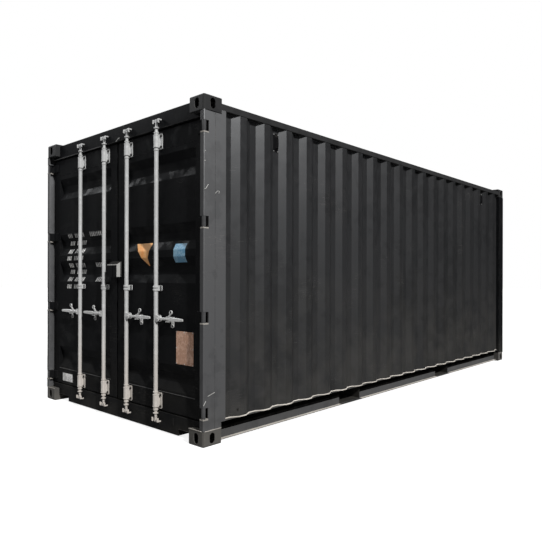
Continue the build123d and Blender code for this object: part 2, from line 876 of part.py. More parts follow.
def lock_box_half(x0, x1, closed_end):
    """One half of the lock box: a hood with a sloping top, open below."""
    front = y_at(lock_box_front_depth)
    back = y_at(leaf_face_depth)
    inner_x0 = x0 + (lock_box_wall if closed_end < 0 else 0)
    inner_x1 = x1 - (lock_box_wall if closed_end > 0 else 0)
    with BuildPart() as box:
        with BuildSketch(side_plane(x0)):
            with BuildLine():
                Polyline(
                    (front, lock_box_bottom), (front, lock_box_bottom + lock_box_front_height),
                    (back, lock_box_bottom + lock_box_back_height), (back, lock_box_bottom), close=True,
                )
            make_face()
        extrude(amount=x1 - x0)
        with BuildSketch(side_plane(inner_x0)):
            with BuildLine():
                Polyline(
                    (front + lock_box_wall, lock_box_bottom),
                    (front + lock_box_wall, lock_box_bottom + lock_box_front_height - lock_box_wall),
                    (back, lock_box_bottom + lock_box_back_height - lock_box_wall),
                    (back, lock_box_bottom), close=True,
                )
            make_face()
        extrude(amount=inner_x1 - inner_x0, mode=Mode.SUBTRACT)
    return box.part


save(lock_box_half(-lock_box_left, -lock_box_gap, -1), "left_lock_box")
save(lock_box_half(lock_box_gap, lock_box_right, 1), "right_lock_box")

for name, leaf_piece in (
    ("door_frame", leaf_frame), ("door_panel", leaf_panel), ("door_gasket", leaf_gasket),
    ("bar_guides", bar_guides), ("handle_rests", handle_rests),
):
    save(leaf_piece.part, "right_" + name)
    save(mirror(leaf_piece.part, about=Plane.YZ), "left_" + name)


# Locking bars: a tube with a cam at each end, collars at the guides and a hub for the handle

def locking_bar(x):
    """One bar of the right door, with its hub and cams towards the hinges."""
    axis_y = y_at(bar_depth)
    with BuildPart() as bar:
        with BuildSketch(level(bar_bottom)):
            with Locations((x, axis_y)):
                Circle(bar_radius)
        extrude(amount=bar_top - bar_bottom)
        for bottom, top in guide_spans:
            with BuildSketch(level(top + collar_gap)):
                with Locations((x, axis_y)):
                    Circle(collar_radius)
            extrude(amount=collar_height)
            with BuildSketch(level(bottom - collar_gap - collar_height)):
                with Locations((x, axis_y)):
                    Circle(collar_radius)
            extrude(amount=collar_height)
        half_hub = hub_height / 2
        with BuildSketch(end_plane(bar_depth + bar_radius)):
            rectangle(x, handle_level - half_hub, x + hub_reach, handle_level + half_hub)
        extrude(amount=2 * bar_radius)
        with BuildSketch(end_plane(bar_depth + hub_slot / 2)):
            rectangle(x + hub_slot_start, handle_level - half_hub, x + hub_reach, handle_level + half_hub)
        extrude(amount=hub_slot, mode=Mode.SUBTRACT)
        with BuildSketch(end_plane(bar_depth + bar_radius)):
            with Locations((x + handle_pin_reach, handle_level)):
                Circle(handle_pin_radius)
        extrude(amount=2 * bar_radius)
        for end_z, direction in ((bar_top, 1), (bar_bottom, -1)):
            with BuildSketch(end_plane(bar_depth + cam_thickness / 2)):
                with BuildLine():
                    Polyline(
                        (x - cam_neck, end_z - direction * cam_root),
                        (x - cam_back, end_z + direction * cam_shoulder),
                        (x - cam_back, end_z + direction * cam_horn),
                        (x - cam_back + cam_horn_width, end_z + direction * cam_horn),
                        (x, end_z + direction * cam_saddle),
                        (x + cam_neck, end_z + direction * cam_saddle),
                        (x + cam_reach - cam_horn_width, end_z + direction * cam_horn),
                        (x + cam_reach, end_z + direction * (cam_horn - cam_horn_width)),
                        (x + cam_reach, end_z + direction * cam_shoulder),
                        (x + cam_neck, end_z - direction * cam_root),
                        close=True,
                    )
                make_face()
            extrude(amount=cam_thickness)
        with BuildSketch(level(bar_bottom + cam_root + collar_height)):
            with Locations((x, axis_y)):
                Circle(bar_radius - bar_wall)
        extrude(amount=bar_top - bar_bottom - 2 * cam_root - 2 * collar_height, mode=Mode.SUBTRACT)
    return bar.part


# Handles: an eye in the hub and a tapered blade

def lock_handle(x):
    """One handle of the right door, pointing towards the hinges."""
    eye_thickness = hub_slot - 2 * handle_side_gap
    eye_back = bar_depth + eye_thickness / 2
    blade_front = bar_depth - eye_thickness / 2
    with BuildPart() as handle:
        with BuildSketch(end_plane(eye_back)):
            with Locations((x + handle_pin_reach, handle_level)):
                Circle(handle_eye_radius)
        extrude(amount=eye_thickness)
        with BuildSketch(end_plane(blade_front + handle_blade_thickness)) as blade:
            with BuildLine():
                Polyline(
                    (x + handle_pin_reach, handle_level - handle_root_width / 2),
                    (x + rest_reach, handle_level - handle_rest_width / 2),
                    (x + handle_length, handle_level - handle_tip_width / 2),
                    (x + handle_length, handle_level + handle_tip_width / 2),
                    (x + rest_reach, handle_level + handle_rest_width / 2),
                    (x + handle_pin_reach, handle_level + handle_root_width / 2),
                    close=True,
                )
            make_face()
            fillet(blade.vertices().group_by(Axis.X)[-1], handle_tip_radius)
        extrude(amount=handle_blade_thickness)
        with BuildSketch(end_plane(eye_back)):
            with Locations((x + handle_pin_reach, handle_level)):
                Circle(handle_pin_radius + running_clearance)
        extrude(amount=eye_thickness, mode=Mode.SUBTRACT)
    return handle.part


# Catches: a curved arm behind the handle with an eye at its end

def handle_catch(x):
    """One catch of the right door, on the pin of its handle rest."""
    pivot = (x + catch_pivot_reach, handle_level)
    eye = (x + rest_reach, handle_level + rest_eye_drop)
    sag = ((pivot[0] + eye[0] + catch_sag) / 2, (pivot[1] + eye[1] - catch_sag) / 2)
    with BuildPart() as catch:
        with BuildSketch(end_plane(leaf_face_depth - catch_standoff + catch_thickness)):
            with BuildLine() as arm:
                ThreePointArc(pivot, sag, eye)
            SlotArc(arm.edge(), catch_arm_width)
            with Locations(pivot):
                Circle(catch_boss_radius)
            with Locations(eye):
                Circle(rest_eye_radius)
                Circle(eye_hole_radius, mode=Mode.SUBTRACT)
            with Locations(pivot):
                Circle(catch_pin_radius + running_clearance, mode=Mode.SUBTRACT)
        extrude(amount=catch_thickness)
    return catch.part


for place, x in zip(("inner", "outer"), bar_places):
    for name, piece in (
        ("locking_bar", locking_bar(x)), ("lock_handle", lock_handle(x)), ("handle_catch", handle_catch(x)),
    ):
        save(piece, "right_" + place + "_" + name)
        save(mirror(piece, about=Plane.YZ), "left_" + place + "_" + name)
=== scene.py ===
import json
import math

import bpy
import numpy as np
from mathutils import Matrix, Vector


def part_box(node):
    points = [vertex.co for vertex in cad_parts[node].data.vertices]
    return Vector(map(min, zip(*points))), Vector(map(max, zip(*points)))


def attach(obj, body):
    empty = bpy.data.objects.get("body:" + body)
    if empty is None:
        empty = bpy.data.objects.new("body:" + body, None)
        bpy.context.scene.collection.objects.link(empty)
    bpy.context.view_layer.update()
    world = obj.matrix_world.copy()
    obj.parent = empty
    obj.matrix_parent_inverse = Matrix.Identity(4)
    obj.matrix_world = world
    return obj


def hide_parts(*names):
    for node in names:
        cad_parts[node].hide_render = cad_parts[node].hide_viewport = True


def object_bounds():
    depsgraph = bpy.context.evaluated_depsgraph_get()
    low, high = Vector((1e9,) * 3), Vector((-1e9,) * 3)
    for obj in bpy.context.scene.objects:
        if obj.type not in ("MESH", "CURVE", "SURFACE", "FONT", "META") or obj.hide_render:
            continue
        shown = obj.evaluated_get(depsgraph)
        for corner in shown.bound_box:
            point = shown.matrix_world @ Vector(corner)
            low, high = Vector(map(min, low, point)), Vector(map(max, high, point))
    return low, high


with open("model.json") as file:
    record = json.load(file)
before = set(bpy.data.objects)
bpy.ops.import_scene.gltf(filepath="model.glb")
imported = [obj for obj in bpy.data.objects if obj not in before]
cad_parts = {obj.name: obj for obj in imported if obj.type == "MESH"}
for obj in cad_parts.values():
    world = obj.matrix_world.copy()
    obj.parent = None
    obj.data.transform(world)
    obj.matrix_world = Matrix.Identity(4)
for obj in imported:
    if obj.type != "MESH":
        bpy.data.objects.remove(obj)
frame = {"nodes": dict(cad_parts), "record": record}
cad_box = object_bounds()

nodes = frame["nodes"]
TAU = 2 * math.pi
ACROSS = (1.0, 0.0, 0.0)
ALONG = (0.0, 1.0, 0.0)
FORWARD = (0.0, -1.0, 0.0)
UPRIGHT = (0.0, 0.0, 1.0)

# Places that many pieces share, in metres, worked out from the frame
HALF_WIDTH = cad_box[1][0]
HALF_LENGTH = cad_box[1][1]
HEIGHT = cad_box[1][2]
DOOR_END = -HALF_LENGTH
CASTING_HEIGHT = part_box("bottom_castings")[1].z
CASTING_WIDTH = 0.162
CASTING_LENGTH = 0.178
UPPER_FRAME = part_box("top_castings")[0].z
LEAF_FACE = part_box("right_door_panel")[0].y
HEADER_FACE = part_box("door_header")[0].y
HEADER_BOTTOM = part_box("door_header")[0].z
RAIL_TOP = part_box("bottom_side_rails")[1].z
SIDES = {"left": -1, "right": 1}
BARS = {
    place: (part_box(f"right_{place}_lock_handle")[0].x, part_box(f"right_{place}_locking_bar"))
    for place in ("inner", "outer")
}
BAR_RADIUS = 0.017
BAR_AXIS = DOOR_END + 0.030
HANDLE_EYE = 0.021
BAR_PLACES = {place: low_x - HANDLE_EYE for place, (low_x, bar_box) in BARS.items()}

# Camera, from a fit of the container's corners in the photo
CAMERA_PLACE = (4.2343, -5.6588, 1.2412)
CAMERA_YAW = math.radians(-43.147)
CAMERA_PITCH = math.radians(0.054)
CAMERA_ROLL = math.radians(0.142)
FOCAL_PIXELS = 547.9
PHOTO_PIXELS = 542
PRINCIPAL_POINT = (258.8, 277.5)
SENSOR = 36.0

# Direction to the sun, from the length of the shadow under the top rail
TO_SUN = (0.74, -0.19, 0.64)

# Colours of the lamps
DAY_WHITE = (1.0, 0.99, 0.98)
COOL_WHITE = (0.97, 0.985, 1.0)


# Camera, light and stage

def place_camera():
    """The camera looks along a yaw and pitch, with a small shift for the photo's off-centre axis."""
    data = bpy.data.cameras.new("camera")
    camera = bpy.data.objects.new("camera", data)
    bpy.context.scene.collection.objects.link(camera)
    data.sensor_fit = "HORIZONTAL"
    data.sensor_width = SENSOR
    data.lens = SENSOR * FOCAL_PIXELS / PHOTO_PIXELS
    data.shift_x = (PHOTO_PIXELS / 2 - PRINCIPAL_POINT[0]) / PHOTO_PIXELS
    data.shift_y = (PRINCIPAL_POINT[1] - PHOTO_PIXELS / 2) / PHOTO_PIXELS
    data.clip_end = 200.0
    forward = Vector((
        math.sin(CAMERA_YAW) * math.cos(CAMERA_PITCH),
        math.cos(CAMERA_YAW) * math.cos(CAMERA_PITCH),
        math.sin(CAMERA_PITCH),
    ))
    camera.rotation_euler = forward.to_track_quat("-Z", "Y").to_euler()
    camera.rotation_euler.rotate_axis("Z", CAMERA_ROLL)
    camera.location = CAMERA_PLACE
    bpy.context.scene.camera = camera


def area_light(name, place, target, size, power, colour):
    """A lamp with a lit rectangle, aimed at a point and unseen by the camera."""
    data = bpy.data.lights.new(name, "AREA")
    data.shape = "RECTANGLE"
    data.size, data.size_y = size
    data.energy = power
    data.color = colour
    lamp = bpy.data.objects.new(name, data)
    lamp.location = place
    lamp.visible_camera = False
    lamp.rotation_euler = (Vector(target) - Vector(place)).to_track_quat("-Z", "Y").to_euler()
    bpy.context.scene.collection.objects.link(lamp)
    return lamp


def sun_light(name, strength, width, colour):
    """Parallel light from the sun's direction in the photo."""
    data = bpy.data.lights.new(name, "SUN")
    data.energy = strength
    data.angle = math.radians(width)
    data.color = colour
    lamp = bpy.data.objects.new(name, data)
    lamp.rotation_euler = Vector(TO_SUN).to_track_quat("Z", "Y").to_euler()
    bpy.context.scene.collection.objects.link(lamp)
    return lamp


def light_alone(lamp, name, lit):
    """Let a lamp light only the pieces that are named."""
    receivers = bpy.data.collections.new(name)
    for piece in lit:
        receivers.objects.link(nodes[piece])
    lamp.light_linking.receiver_collection = receivers


def seen_as_pale(tree, shown, hidden):
    """Mix two shaders: the first where the ray comes from the camera or from gloss or glass."""
    path = tree.nodes.new("ShaderNodeLightPath").outputs
    seen = maths(tree, "MAXIMUM", path["Is Camera Ray"], path["Is Glossy Ray"])
    clear = maths(tree, "MAXIMUM", seen, path["Is Transmission Ray"])
    return add_node(tree, "ShaderNodeMixShader", {0: clear, 1: hidden, 2: shown})


def white_surroundings():
    """The world: white to the camera, to gloss and to glass, and a dim cool light for the rest."""
    world = bpy.data.worlds.new("surroundings")
    bpy.context.scene.world = world
    world.use_nodes = True
    tree = world.node_tree
    tree.nodes.clear()
    shown = add_node(tree, "ShaderNodeBackground", {"Color": (1, 1, 1, 1), "Strength": 1.0})
    hidden = add_node(tree, "ShaderNodeBackground", {"Color": (0.93, 0.96, 1.0, 1), "Strength": 0.12})
    mix = seen_as_pale(tree, shown.outputs[0], hidden.outputs[0])
    add_node(tree, "ShaderNodeOutputWorld", {"Surface": mix.outputs[0]})


def light_the_stage():
    """Surroundings, sun, lamps before the doors and behind, one for the near wall, and two for gloss."""
    bpy.context.scene.view_settings.view_transform = "Standard"
    white_surroundings()
    sun_light("high_sun", 3.7, 1.5, (1.0, 0.985, 0.96))
    area_light("doors_front", (2.4, -6.6, 6.4), (0.0, -3.0, 1.3), (2.4, 2.4), 40, DAY_WHITE)
    area_light("doors_left", (-2.6, -5.4, 4.2), (-0.5, -3.0, 1.2), (1.6, 1.6), 12, DAY_WHITE)
    area_light("far_sides", (-6.5, 4.5, 5.5), (0.0, 0.5, 1.3), (4.0, 4.0), 560, COOL_WHITE)
    near_wall = area_light("near_wall", (4.4, -3.0, 1.9), (1.2, -2.0, 1.2), (0.8, 1.8), 24, COOL_WHITE)
    light_alone(near_wall, "near_sheets", ("side_walls",))
    wall_gleam = area_light(
        "wall_gleam", (7.1, -3.5, 7.1), (1.2, -1.0, 1.5), (0.8, 0.8), 46000, COOL_WHITE
    )
    light_alone(wall_gleam, "gleaming_walls", ("side_walls", "rear_posts"))
    door_gleam = area_light(
        "door_gleam", (-7.0, -5.0, 6.9), (0.0, -3.0, 1.5), (3.0, 2.4), 560, (0.96, 0.98, 1.0)
    )
    for gleam in (wall_gleam, door_gleam):
        gleam.visible_diffuse = False
    dark_screens()
    lay_the_floor()


def stage_sheet(name, points, faces, material):
    """A sheet of the stage, from its points and faces, with its material."""
    mesh = bpy.data.meshes.new(name)
    mesh.from_pydata(points, [], faces)
    mesh.materials.append(material)
    sheet = bpy.data.objects.new(name, mesh)
    bpy.context.scene.collection.objects.link(sheet)
    return sheet


def lay_the_floor():
    """A flat square far wider than the view, level with the feet."""
    reach = 60.0
    corners = [(-reach, -reach, 0), (reach, -reach, 0), (reach, reach, 0), (-reach, reach, 0)]
    floor = stage_sheet("floor", corners, [(0, 1, 2, 3)], floor_material())


def dark_screens():
    """Dark cloths beside the long wall that gloss alone sees: one curved far off, one flat on the floor."""
    columns, far, top = 45, 13.0, 16.0
    angle = np.radians(np.linspace(-12.0, 98.0, columns))[None, :]
    height = np.array((0.0, top))[:, None]
    curved = np.stack(np.broadcast_arrays(far * np.sin(angle), far * np.cos(angle), height), axis=-1)
    near, front, lift = 1.5, -3.2, 0.004
    flat = [(near, front, lift), (far, front, lift), (far, far, lift), (near, far, lift)]
    material = bpy.data.materials.new("dark_cloth")
    material.use_nodes = True
    tree = material.node_tree
    feed(tree, tree.nodes["Principled BSDF"], {
        "Base Color": (0.02, 0.02, 0.02, 1), "Roughness": 1.0, "Specular IOR Level": 0.0,
    })
    for name, points, faces in (
        ("far_screen", curved.reshape(-1, 3).tolist(), grid_quads(2, columns, False).tolist()),
        ("floor_screen", flat, [(0, 1, 2, 3)]),
    ):
        screen = stage_sheet(name, points, faces, material)
        screen.visible_camera = False
        screen.visible_diffuse = False
        screen.visible_transmission = False
        screen.visible_shadow = False


def floor_material():
    """White far away; near the object a little darker, with its light on top, so that its shadow shows."""
    material = bpy.data.materials.new("pale_floor")
    material.use_nodes = True
    tree = material.node_tree
    tree.nodes.clear()
    place = tree.nodes.new("ShaderNodeTexCoord").outputs["Object"]
    away = add_node(tree, "ShaderNodeVectorMath", {0: place})
    away.operation = "LENGTH"
    near, far = 4.5, 8.0
    brightness = ramp(tree, away.outputs["Value"], near, far, 0.86, 1.0)
    glow = add_node(tree, "ShaderNodeEmission", {"Color": (1, 1, 1, 1), "Strength": brightness})
    matt = add_node(tree, "ShaderNodeBsdfDiffuse", {"Color": (0.35, 0.35, 0.35, 1)})
    both = add_node(tree, "ShaderNodeAddShader", {0: matt.outputs[0], 1: glow.outputs[0]})
    grey = add_node(tree, "ShaderNodeBsdfDiffuse", {"Color": (0.22, 0.215, 0.21, 1)})
    mix = seen_as_pale(tree, both.outputs[0], grey.outputs[0])
    add_node(tree, "ShaderNodeOutputMaterial", {"Surface": mix.outputs[0]})
    return material


# Shader nodes that every finish is made of

def feed(tree, node, values):
    """Give a node its inputs by label: a socket is linked, and anything else is set as the value."""
    for label, value in values.items():
        if hasattr(value, "is_output"):
            tree.links.new(value, node.inputs[label])
        else:
            node.inputs[label].default_value = value
    return node


def add_node(tree, kind, values):
    """A new shader node with its inputs fed."""
    return feed(tree, tree.nodes.new(kind), values)


def noise(tree, vector, scale, detail=4.0, roughness=0.55, stretch=None):
    """Fractal noise on a vector, stretched along the axes if asked. Gives its value socket."""
    if stretch is not None:
        vector = add_node(tree, "ShaderNodeMapping", {"Scale": stretch, "Vector": vector}).outputs[0]
    values = {"Vector": vector, "Scale": scale, "Detail": detail, "Roughness": roughness}
    return add_node(tree, "ShaderNodeTexNoise", values).outputs[0]


def ramp(tree, value, low, high, to_low=0.0, to_high=1.0):
    """Map a value from one range to another, clamped, with a smooth step."""
    values = {"Value": value, "From Min": low, "From Max": high, "To Min": to_low, "To Max": to_high}
    node = add_node(tree, "ShaderNodeMapRange", values)
    node.interpolation_type = "SMOOTHSTEP"
    return node.outputs["Result"]


def maths(tree, operation, first, second):
    """One sum of two values, each a socket or a number."""
    node = add_node(tree, "ShaderNodeMath", {0: first, 1: second})
    node.operation = operation
    return node.outputs[0]


def times(tree, first, second):
    """The product of two values, each a socket or a number."""
    return maths(tree, "MULTIPLY", first, second)


def axes_of(tree, vector):
    """The sockets X, Y and Z of a vector."""
    return add_node(tree, "ShaderNodeSeparateXYZ", {0: vector}).outputs


def relief(tree, height, strength, distance, below=None):
    """A normal raised by a height, over another normal if there is one."""
    values = {"Height": height, "Strength": strength, "Distance": distance}
    if below is not None:
        values["Normal"] = below
    return add_node(tree, "ShaderNodeBump", values).outputs[0]


def blend_colour(tree, amount, first, second):
    """Mix two colours by a mask. Each colour is a socket or a tuple."""
    node = tree.nodes.new("ShaderNodeMix")
    node.data_type = "RGBA"
    first, second = (colour if hasattr(colour, "is_output") else (*colour, 1) for colour in (first, second))
    return feed(tree, node, {"Factor": amount, 6: first, 7: second}).outputs[2]


def layered(tree, colour, layers):
    """Lay colours over a first one, each where its mask is one."""
    for mask, over in layers:
        colour = blend_colour(tree, mask, colour, over)
    return colour


# Shader groups: effects that several finishes share

def new_group(name, inputs, outputs):
    """An empty shader group with a vector, float inputs with their values, and outputs by kind."""
    group = bpy.data.node_groups.new(name, "ShaderNodeTree")
    group.interface.new_socket("Vector", in_out="INPUT", socket_type="NodeSocketVector")
    for label, value in inputs.items():
        socket = group.interface.new_socket(label, in_out="INPUT", socket_type="NodeSocketFloat")
        socket.default_value = value
    for label, kind in outputs.items():
        group.interface.new_socket(label, in_out="OUTPUT", socket_type=kind)
    given = group.nodes.new("NodeGroupInput").outputs
    return group, given, group.nodes.new("NodeGroupOutput")


def make_patches():
    """Soft patches: two scales of noise multiplied, then cut at a level."""
    group, given, result = new_group(
        "soft_patches", {"Scale": 3.0, "Level": 0.5}, {"Mask": "NodeSocketFloat"}
    )
    broad, fine = (
        noise(group, given["Vector"], times(group, given["Scale"], factor), 5.0, 0.5) for factor in (1.0, 7.0)
    )
    product = times(group, times(group, broad, fine), 3.2)
    top = maths(group, "ADD", given["Level"], 0.25)
    feed(group, result, {"Mask": ramp(group, product, given["Level"], top)})
    return group


def make_scratches():
    """Hairline scratches: thin contour lines of noise stretched along one direction, in patches."""
    group, given, result = new_group("hairline_scratches", {"Amount": 0.5}, {"Mask": "NodeSocketFloat"})
    lines = []
    for scale, stretch, turn in (
        (3.0, (1.0, 1.0, 14.0), (0.0, 0.2, 0.1)),
        (4.0, (1.0, 1.0, 22.0), (0.5, 1.1, 0.4)),
    ):
        values = {"Rotation": turn, "Scale": stretch, "Vector": given["Vector"]}
        turned_place = add_node(group, "ShaderNodeMapping", values).outputs[0]
        value = noise(group, turned_place, scale, 2.0, 0.4)
        away = maths(group, "ABSOLUTE", maths(group, "SUBTRACT", value, 0.5), 0.0)
        lines.append(ramp(group, away, 0.0, 0.004, 1.0, 0.0))
    where = ramp(group, noise(group, given["Vector"], 2.3, 3.0), 0.5, 0.72)
    shown = times(group, maths(group, "MAXIMUM", *lines), where)
    feed(group, result, {"Mask": times(group, shown, given["Amount"])})
    return group


def make_edge_wear():
    """Bare edges: where a rounded normal leaves the flat one, broken up by noise."""
    group, given, result = new_group(
        "edge_wear", {"Radius": 0.004, "Amount": 0.5}, {"Mask": "NodeSocketFloat"}
    )
    rounded = add_node(group, "ShaderNodeBevel", {"Radius": given["Radius"]})
    rounded.samples = 6
    flat = group.nodes.new("ShaderNodeNewGeometry").outputs["Normal"]
    dot = add_node(group, "ShaderNodeVectorMath", {0: rounded.outputs[0], 1: flat})
    dot.operation = "DOT_PRODUCT"
    edge = ramp(group, dot.outputs["Value"], 0.97, 0.82)
    broken = ramp(group, noise(group, given["Vector"], 16.0, 6.0, 0.65), 0.45, 0.62)
    feed(group, result, {"Mask": times(group, times(group, edge, broken), given["Amount"])})
    return group


def make_grime():
    """Dust on upward faces and low down, and rain streaks down upright ones."""
    group, given, result = new_group(
        "dust_and_streaks", {"Dust": 0.4, "Ledge": 0.3, "Streaks": 0.3, "Rise": 0.7},
        {"Dust": "NodeSocketFloat", "Streaks": "NodeSocketFloat"},
    )
    place = given["Vector"]
    normal = group.nodes.new("ShaderNodeNewGeometry").outputs["Normal"]
    ledge_top = maths(group, "ADD", given["Ledge"], 0.35)
    upward = ramp(group, axes_of(group, normal)["Z"], given["Ledge"], ledge_top)
    low_down = ramp(group, axes_of(group, place)["Z"], given["Rise"], 0.0)
    where = maths(group, "MAXIMUM", upward, times(group, low_down, 0.55))
    patch = ramp(group, noise(group, place, 4.0, 7.0, 0.6), 0.35, 0.65, 0.25, 1.0)
    streak = ramp(group, noise(group, place, 1.0, 5.0, 0.6, (16.0, 16.0, 0.5)), 0.52, 0.7)
    feed(group, result, {
        "Dust": times(group, times(group, where, patch), given["Dust"]),
        "Streaks": times(group, streak, given["Streaks"]),
    })
    return group


def make_sprayed_surface():
    """The slight unevenness of sprayed paint: a normal from fine noise over broad dents."""
    group, given, result = new_group(
        "sprayed_surface", {"Fine": 0.1, "Dents": 0.1}, {"Normal": "NodeSocketVector"}
    )
    broad = relief(group, noise(group, given["Vector"], 2.6, 2.0), given["Dents"], 0.02)
    fine = relief(group, noise(group, given["Vector"], 180.0, 2.0), given["Fine"], 0.001, broad)
    feed(group, result, {"Normal": fine})
    return group


PATCHES = make_patches()
SCRATCHES = make_scratches()
EDGE_WEAR = make_edge_wear()
GRIME = make_grime()
SURFACE = make_sprayed_surface()


# Finishes

DUST_TINT = (0.085, 0.080, 0.070)
FINE_DUST = (0.10, 0.095, 0.085)
SCRATCH_GREY = (0.20, 0.19, 0.18)
WORN_STEEL = (0.16, 0.155, 0.15)
WORN_ZINC = (0.30, 0.24, 0.19)
# Shares of each colour kept low on the bars: painted warm bounce light from the ground.
GROUND_BOUNCE_WARMTH = (1.0, 0.88, 0.78)
# Near black for the castings' insides: painted shade.
PAINTED_HOLLOW_SHADE = (0.0015, 0.0015, 0.0015)


def start_material(name):
    """A material with a Principled shader. Gives it, its tree, the shader and the Object coordinates."""
    material = bpy.data.materials.new(name)
    material.use_nodes = True
    tree = material.node_tree
    place = tree.nodes.new("ShaderNodeTexCoord").outputs["Object"]
    return material, tree, tree.nodes["Principled BSDF"], place


def use_group(tree, group, place, **values):
    """Place a shader group, feed it the coordinates and its named values. Gives its outputs."""
    node = tree.nodes.new("ShaderNodeGroup")
    node.node_tree = group
    return feed(tree, node, {"Vector": place, **values}).outputs


def darker(colour, share):
    """A colour times a share."""
    return tuple(c * share for c in colour)


def painted_casting_shade(tree, place):
    """A mask of painted shade: one inside the corner castings, at places a little in from their outer faces
    on all sides.
    """
    axes = axes_of(tree, place)
    from_middle = maths(tree, "SUBTRACT", axes["Z"], HEIGHT / 2)
    skin = 0.005
    mask = 1.0
    for value, reach, size in (
        (axes["X"], HALF_WIDTH, CASTING_WIDTH), (axes["Y"], HALF_LENGTH, CASTING_LENGTH),
        (from_middle, HEIGHT / 2, CASTING_HEIGHT),
    ):
        away = maths(tree, "ABSOLUTE", value, 0.0)
        below = maths(tree, "LESS_THAN", away, reach - skin)
        above = maths(tree, "GREATER_THAN", away, reach - size + skin)
        mask = times(tree, mask, times(tree, below, above))
    return mask


def painted_steel(
    name, colour, roughness, gloss, wear=0.5, scratch=0.5, dust=0.35, ledge=0.3, rise=0.7, streaks=0.35,
    dents=0.1, mottle=0.15, shade_inside=False,
):
    """Sprayed paint over steel: faded patches, dust, streaks, scratches and edges worn to primer, and, if
    asked, painted shade that turns the castings' insides near black.
    """
    material, tree, shader, place = start_material(name)
    patches = use_group(tree, PATCHES, place, Scale=1.4, Level=0.55)["Mask"]
    scratches = use_group(tree, SCRATCHES, place, Amount=scratch)["Mask"]
    edges = use_group(tree, EDGE_WEAR, place, Radius=0.005, Amount=wear)["Mask"]
    grime = use_group(tree, GRIME, place, Dust=dust, Ledge=ledge, Rise=rise, Streaks=streaks)
    layers = [
        (patches, tuple(min(1.0, c * 1.15 + 0.002) for c in colour)),
        (grime["Streaks"], tuple(c * 0.7 + 0.012 for c in colour)),
        (grime["Dust"], tuple(c * 0.4 + d for c, d in zip(colour, DUST_TINT))),
        (scratches, SCRATCH_GREY),
        (edges, WORN_STEEL),
    ]
    # Painted shade inside the castings.
    if shade_inside:
        layers.append((painted_casting_shade(tree, place), PAINTED_HOLLOW_SHADE))
    marks = maths(tree, "MAXIMUM", scratches, grime["Dust"])
    dullness = maths(tree, "ADD", times(tree, patches, mottle), marks)
    feed(tree, shader, {
        "Base Color": layered(tree, colour, layers),
        "Roughness": ramp(tree, dullness, 0.0, 1.6, roughness, 0.85),
        "Specular IOR Level": gloss,
        "Normal": use_group(tree, SURFACE, place, Fine=0.12, Dents=dents)["Normal"],
    })
    return material


def galvanised(name, colour, roughness, metal):
    """Zinc-coated steel: a faint spangle, dull patches and a warm tint low down, painted bounce light from
    the ground.
    """
    material, tree, shader, place = start_material(name)
    spangle = add_node(tree, "ShaderNodeTexVoronoi", {"Scale": 90.0, "Vector": place})
    grain = add_node(tree, "ShaderNodeSeparateColor", {0: spangle.outputs["Color"]}).outputs[0]
    patches = use_group(tree, PATCHES, place, Scale=3.0, Level=0.55)["Mask"]
    # Below 1.1 m the zinc turns warmer towards the floor: painted bounce light from the ground.
    foot = ramp(tree, axes_of(tree, place)["Z"], 1.1, 0.1, 0.0, 0.7)
    edges = use_group(tree, EDGE_WEAR, place, Radius=0.003, Amount=0.5)["Mask"]
    feed(tree, shader, {
        "Base Color": layered(tree, colour, [
            (grain, darker(colour, 0.95)),
            (times(tree, patches, 0.5), darker(colour, 0.75)),
            (foot, tuple(c * share for c, share in zip(colour, GROUND_BOUNCE_WARMTH))),
            (edges, WORN_ZINC),
        ]),
        "Roughness": ramp(tree, patches, 0.0, 1.0, roughness, roughness + 0.2),
        "Metallic": metal,
        "Normal": use_group(tree, SURFACE, place, Fine=0.1, Dents=0.0)["Normal"],
    })
    return material


def plain_dull(name, colour, roughness, grain_scale, gloss):
    """Rubber or plastic: one colour with fine mottling, dust and a fine grain."""
    material, tree, shader, place = start_material(name)
    mottled = ramp(tree, noise(tree, place, grain_scale, 5.0, 0.6), 0.3, 0.7)
    dust = use_group(tree, GRIME, place, Dust=0.3, Streaks=0.2)["Dust"]
    feed(tree, shader, {
        "Base Color": layered(tree, colour, [(mottled, darker(colour, 0.75)), (dust, FINE_DUST)]),
        "Roughness": ramp(tree, mottled, 0.0, 1.0, roughness, roughness + 0.12),
        "Specular IOR Level": gloss,
        "Normal": relief(tree, noise(tree, place, grain_scale * 8, 3.0), 0.2, 0.0006),
    })
    return material


def plywood(name):
    """Sealed plywood: long grain and scuffs."""
    material, tree, shader, place = start_material(name)
    grain = noise(tree, place, 9.0, 8.0, 0.6, (6.0, 0.5, 6.0))
    scuffs = use_group(tree, PATCHES, place, Scale=2.2, Level=0.45)["Mask"]
    dark_grain, pale_grain, scuffed = (0.19, 0.105, 0.055), (0.32, 0.20, 0.115), (0.13, 0.09, 0.06)
    feed(tree, shader, {
        "Base Color": layered(tree, dark_grain, [
            (ramp(tree, grain, 0.3, 0.7), pale_grain), (times(tree, scuffs, 0.7), scuffed),
        ]),
        "Roughness": ramp(tree, scuffs, 0.0, 1.0, 0.5, 0.75),
        "Normal": relief(tree, grain, 0.3, 0.001),
    })
    return material


def flat_print(name, colour, edge_colour, roughness=0.5):
    """A thin printed patch or a coat of marking paint: one colour, scuffed through in places."""
    material, tree, shader, place = start_material(name)
    worn = use_group(tree, PATCHES, place, Scale=9.0, Level=0.62)["Mask"]
    scratches = use_group(tree, SCRATCHES, place, Amount=0.7)["Mask"]
    feed(tree, shader, {
        "Base Color": layered(tree, colour, [(worn, edge_colour), (scratches, darker(colour, 0.5))]),
        "Roughness": ramp(tree, worn, 0.0, 1.0, roughness, 0.8),
        "Specular IOR Level": 0.2,
        "Normal": use_group(tree, SURFACE, place, Fine=0.15, Dents=0.0)["Normal"],
    })
    return material


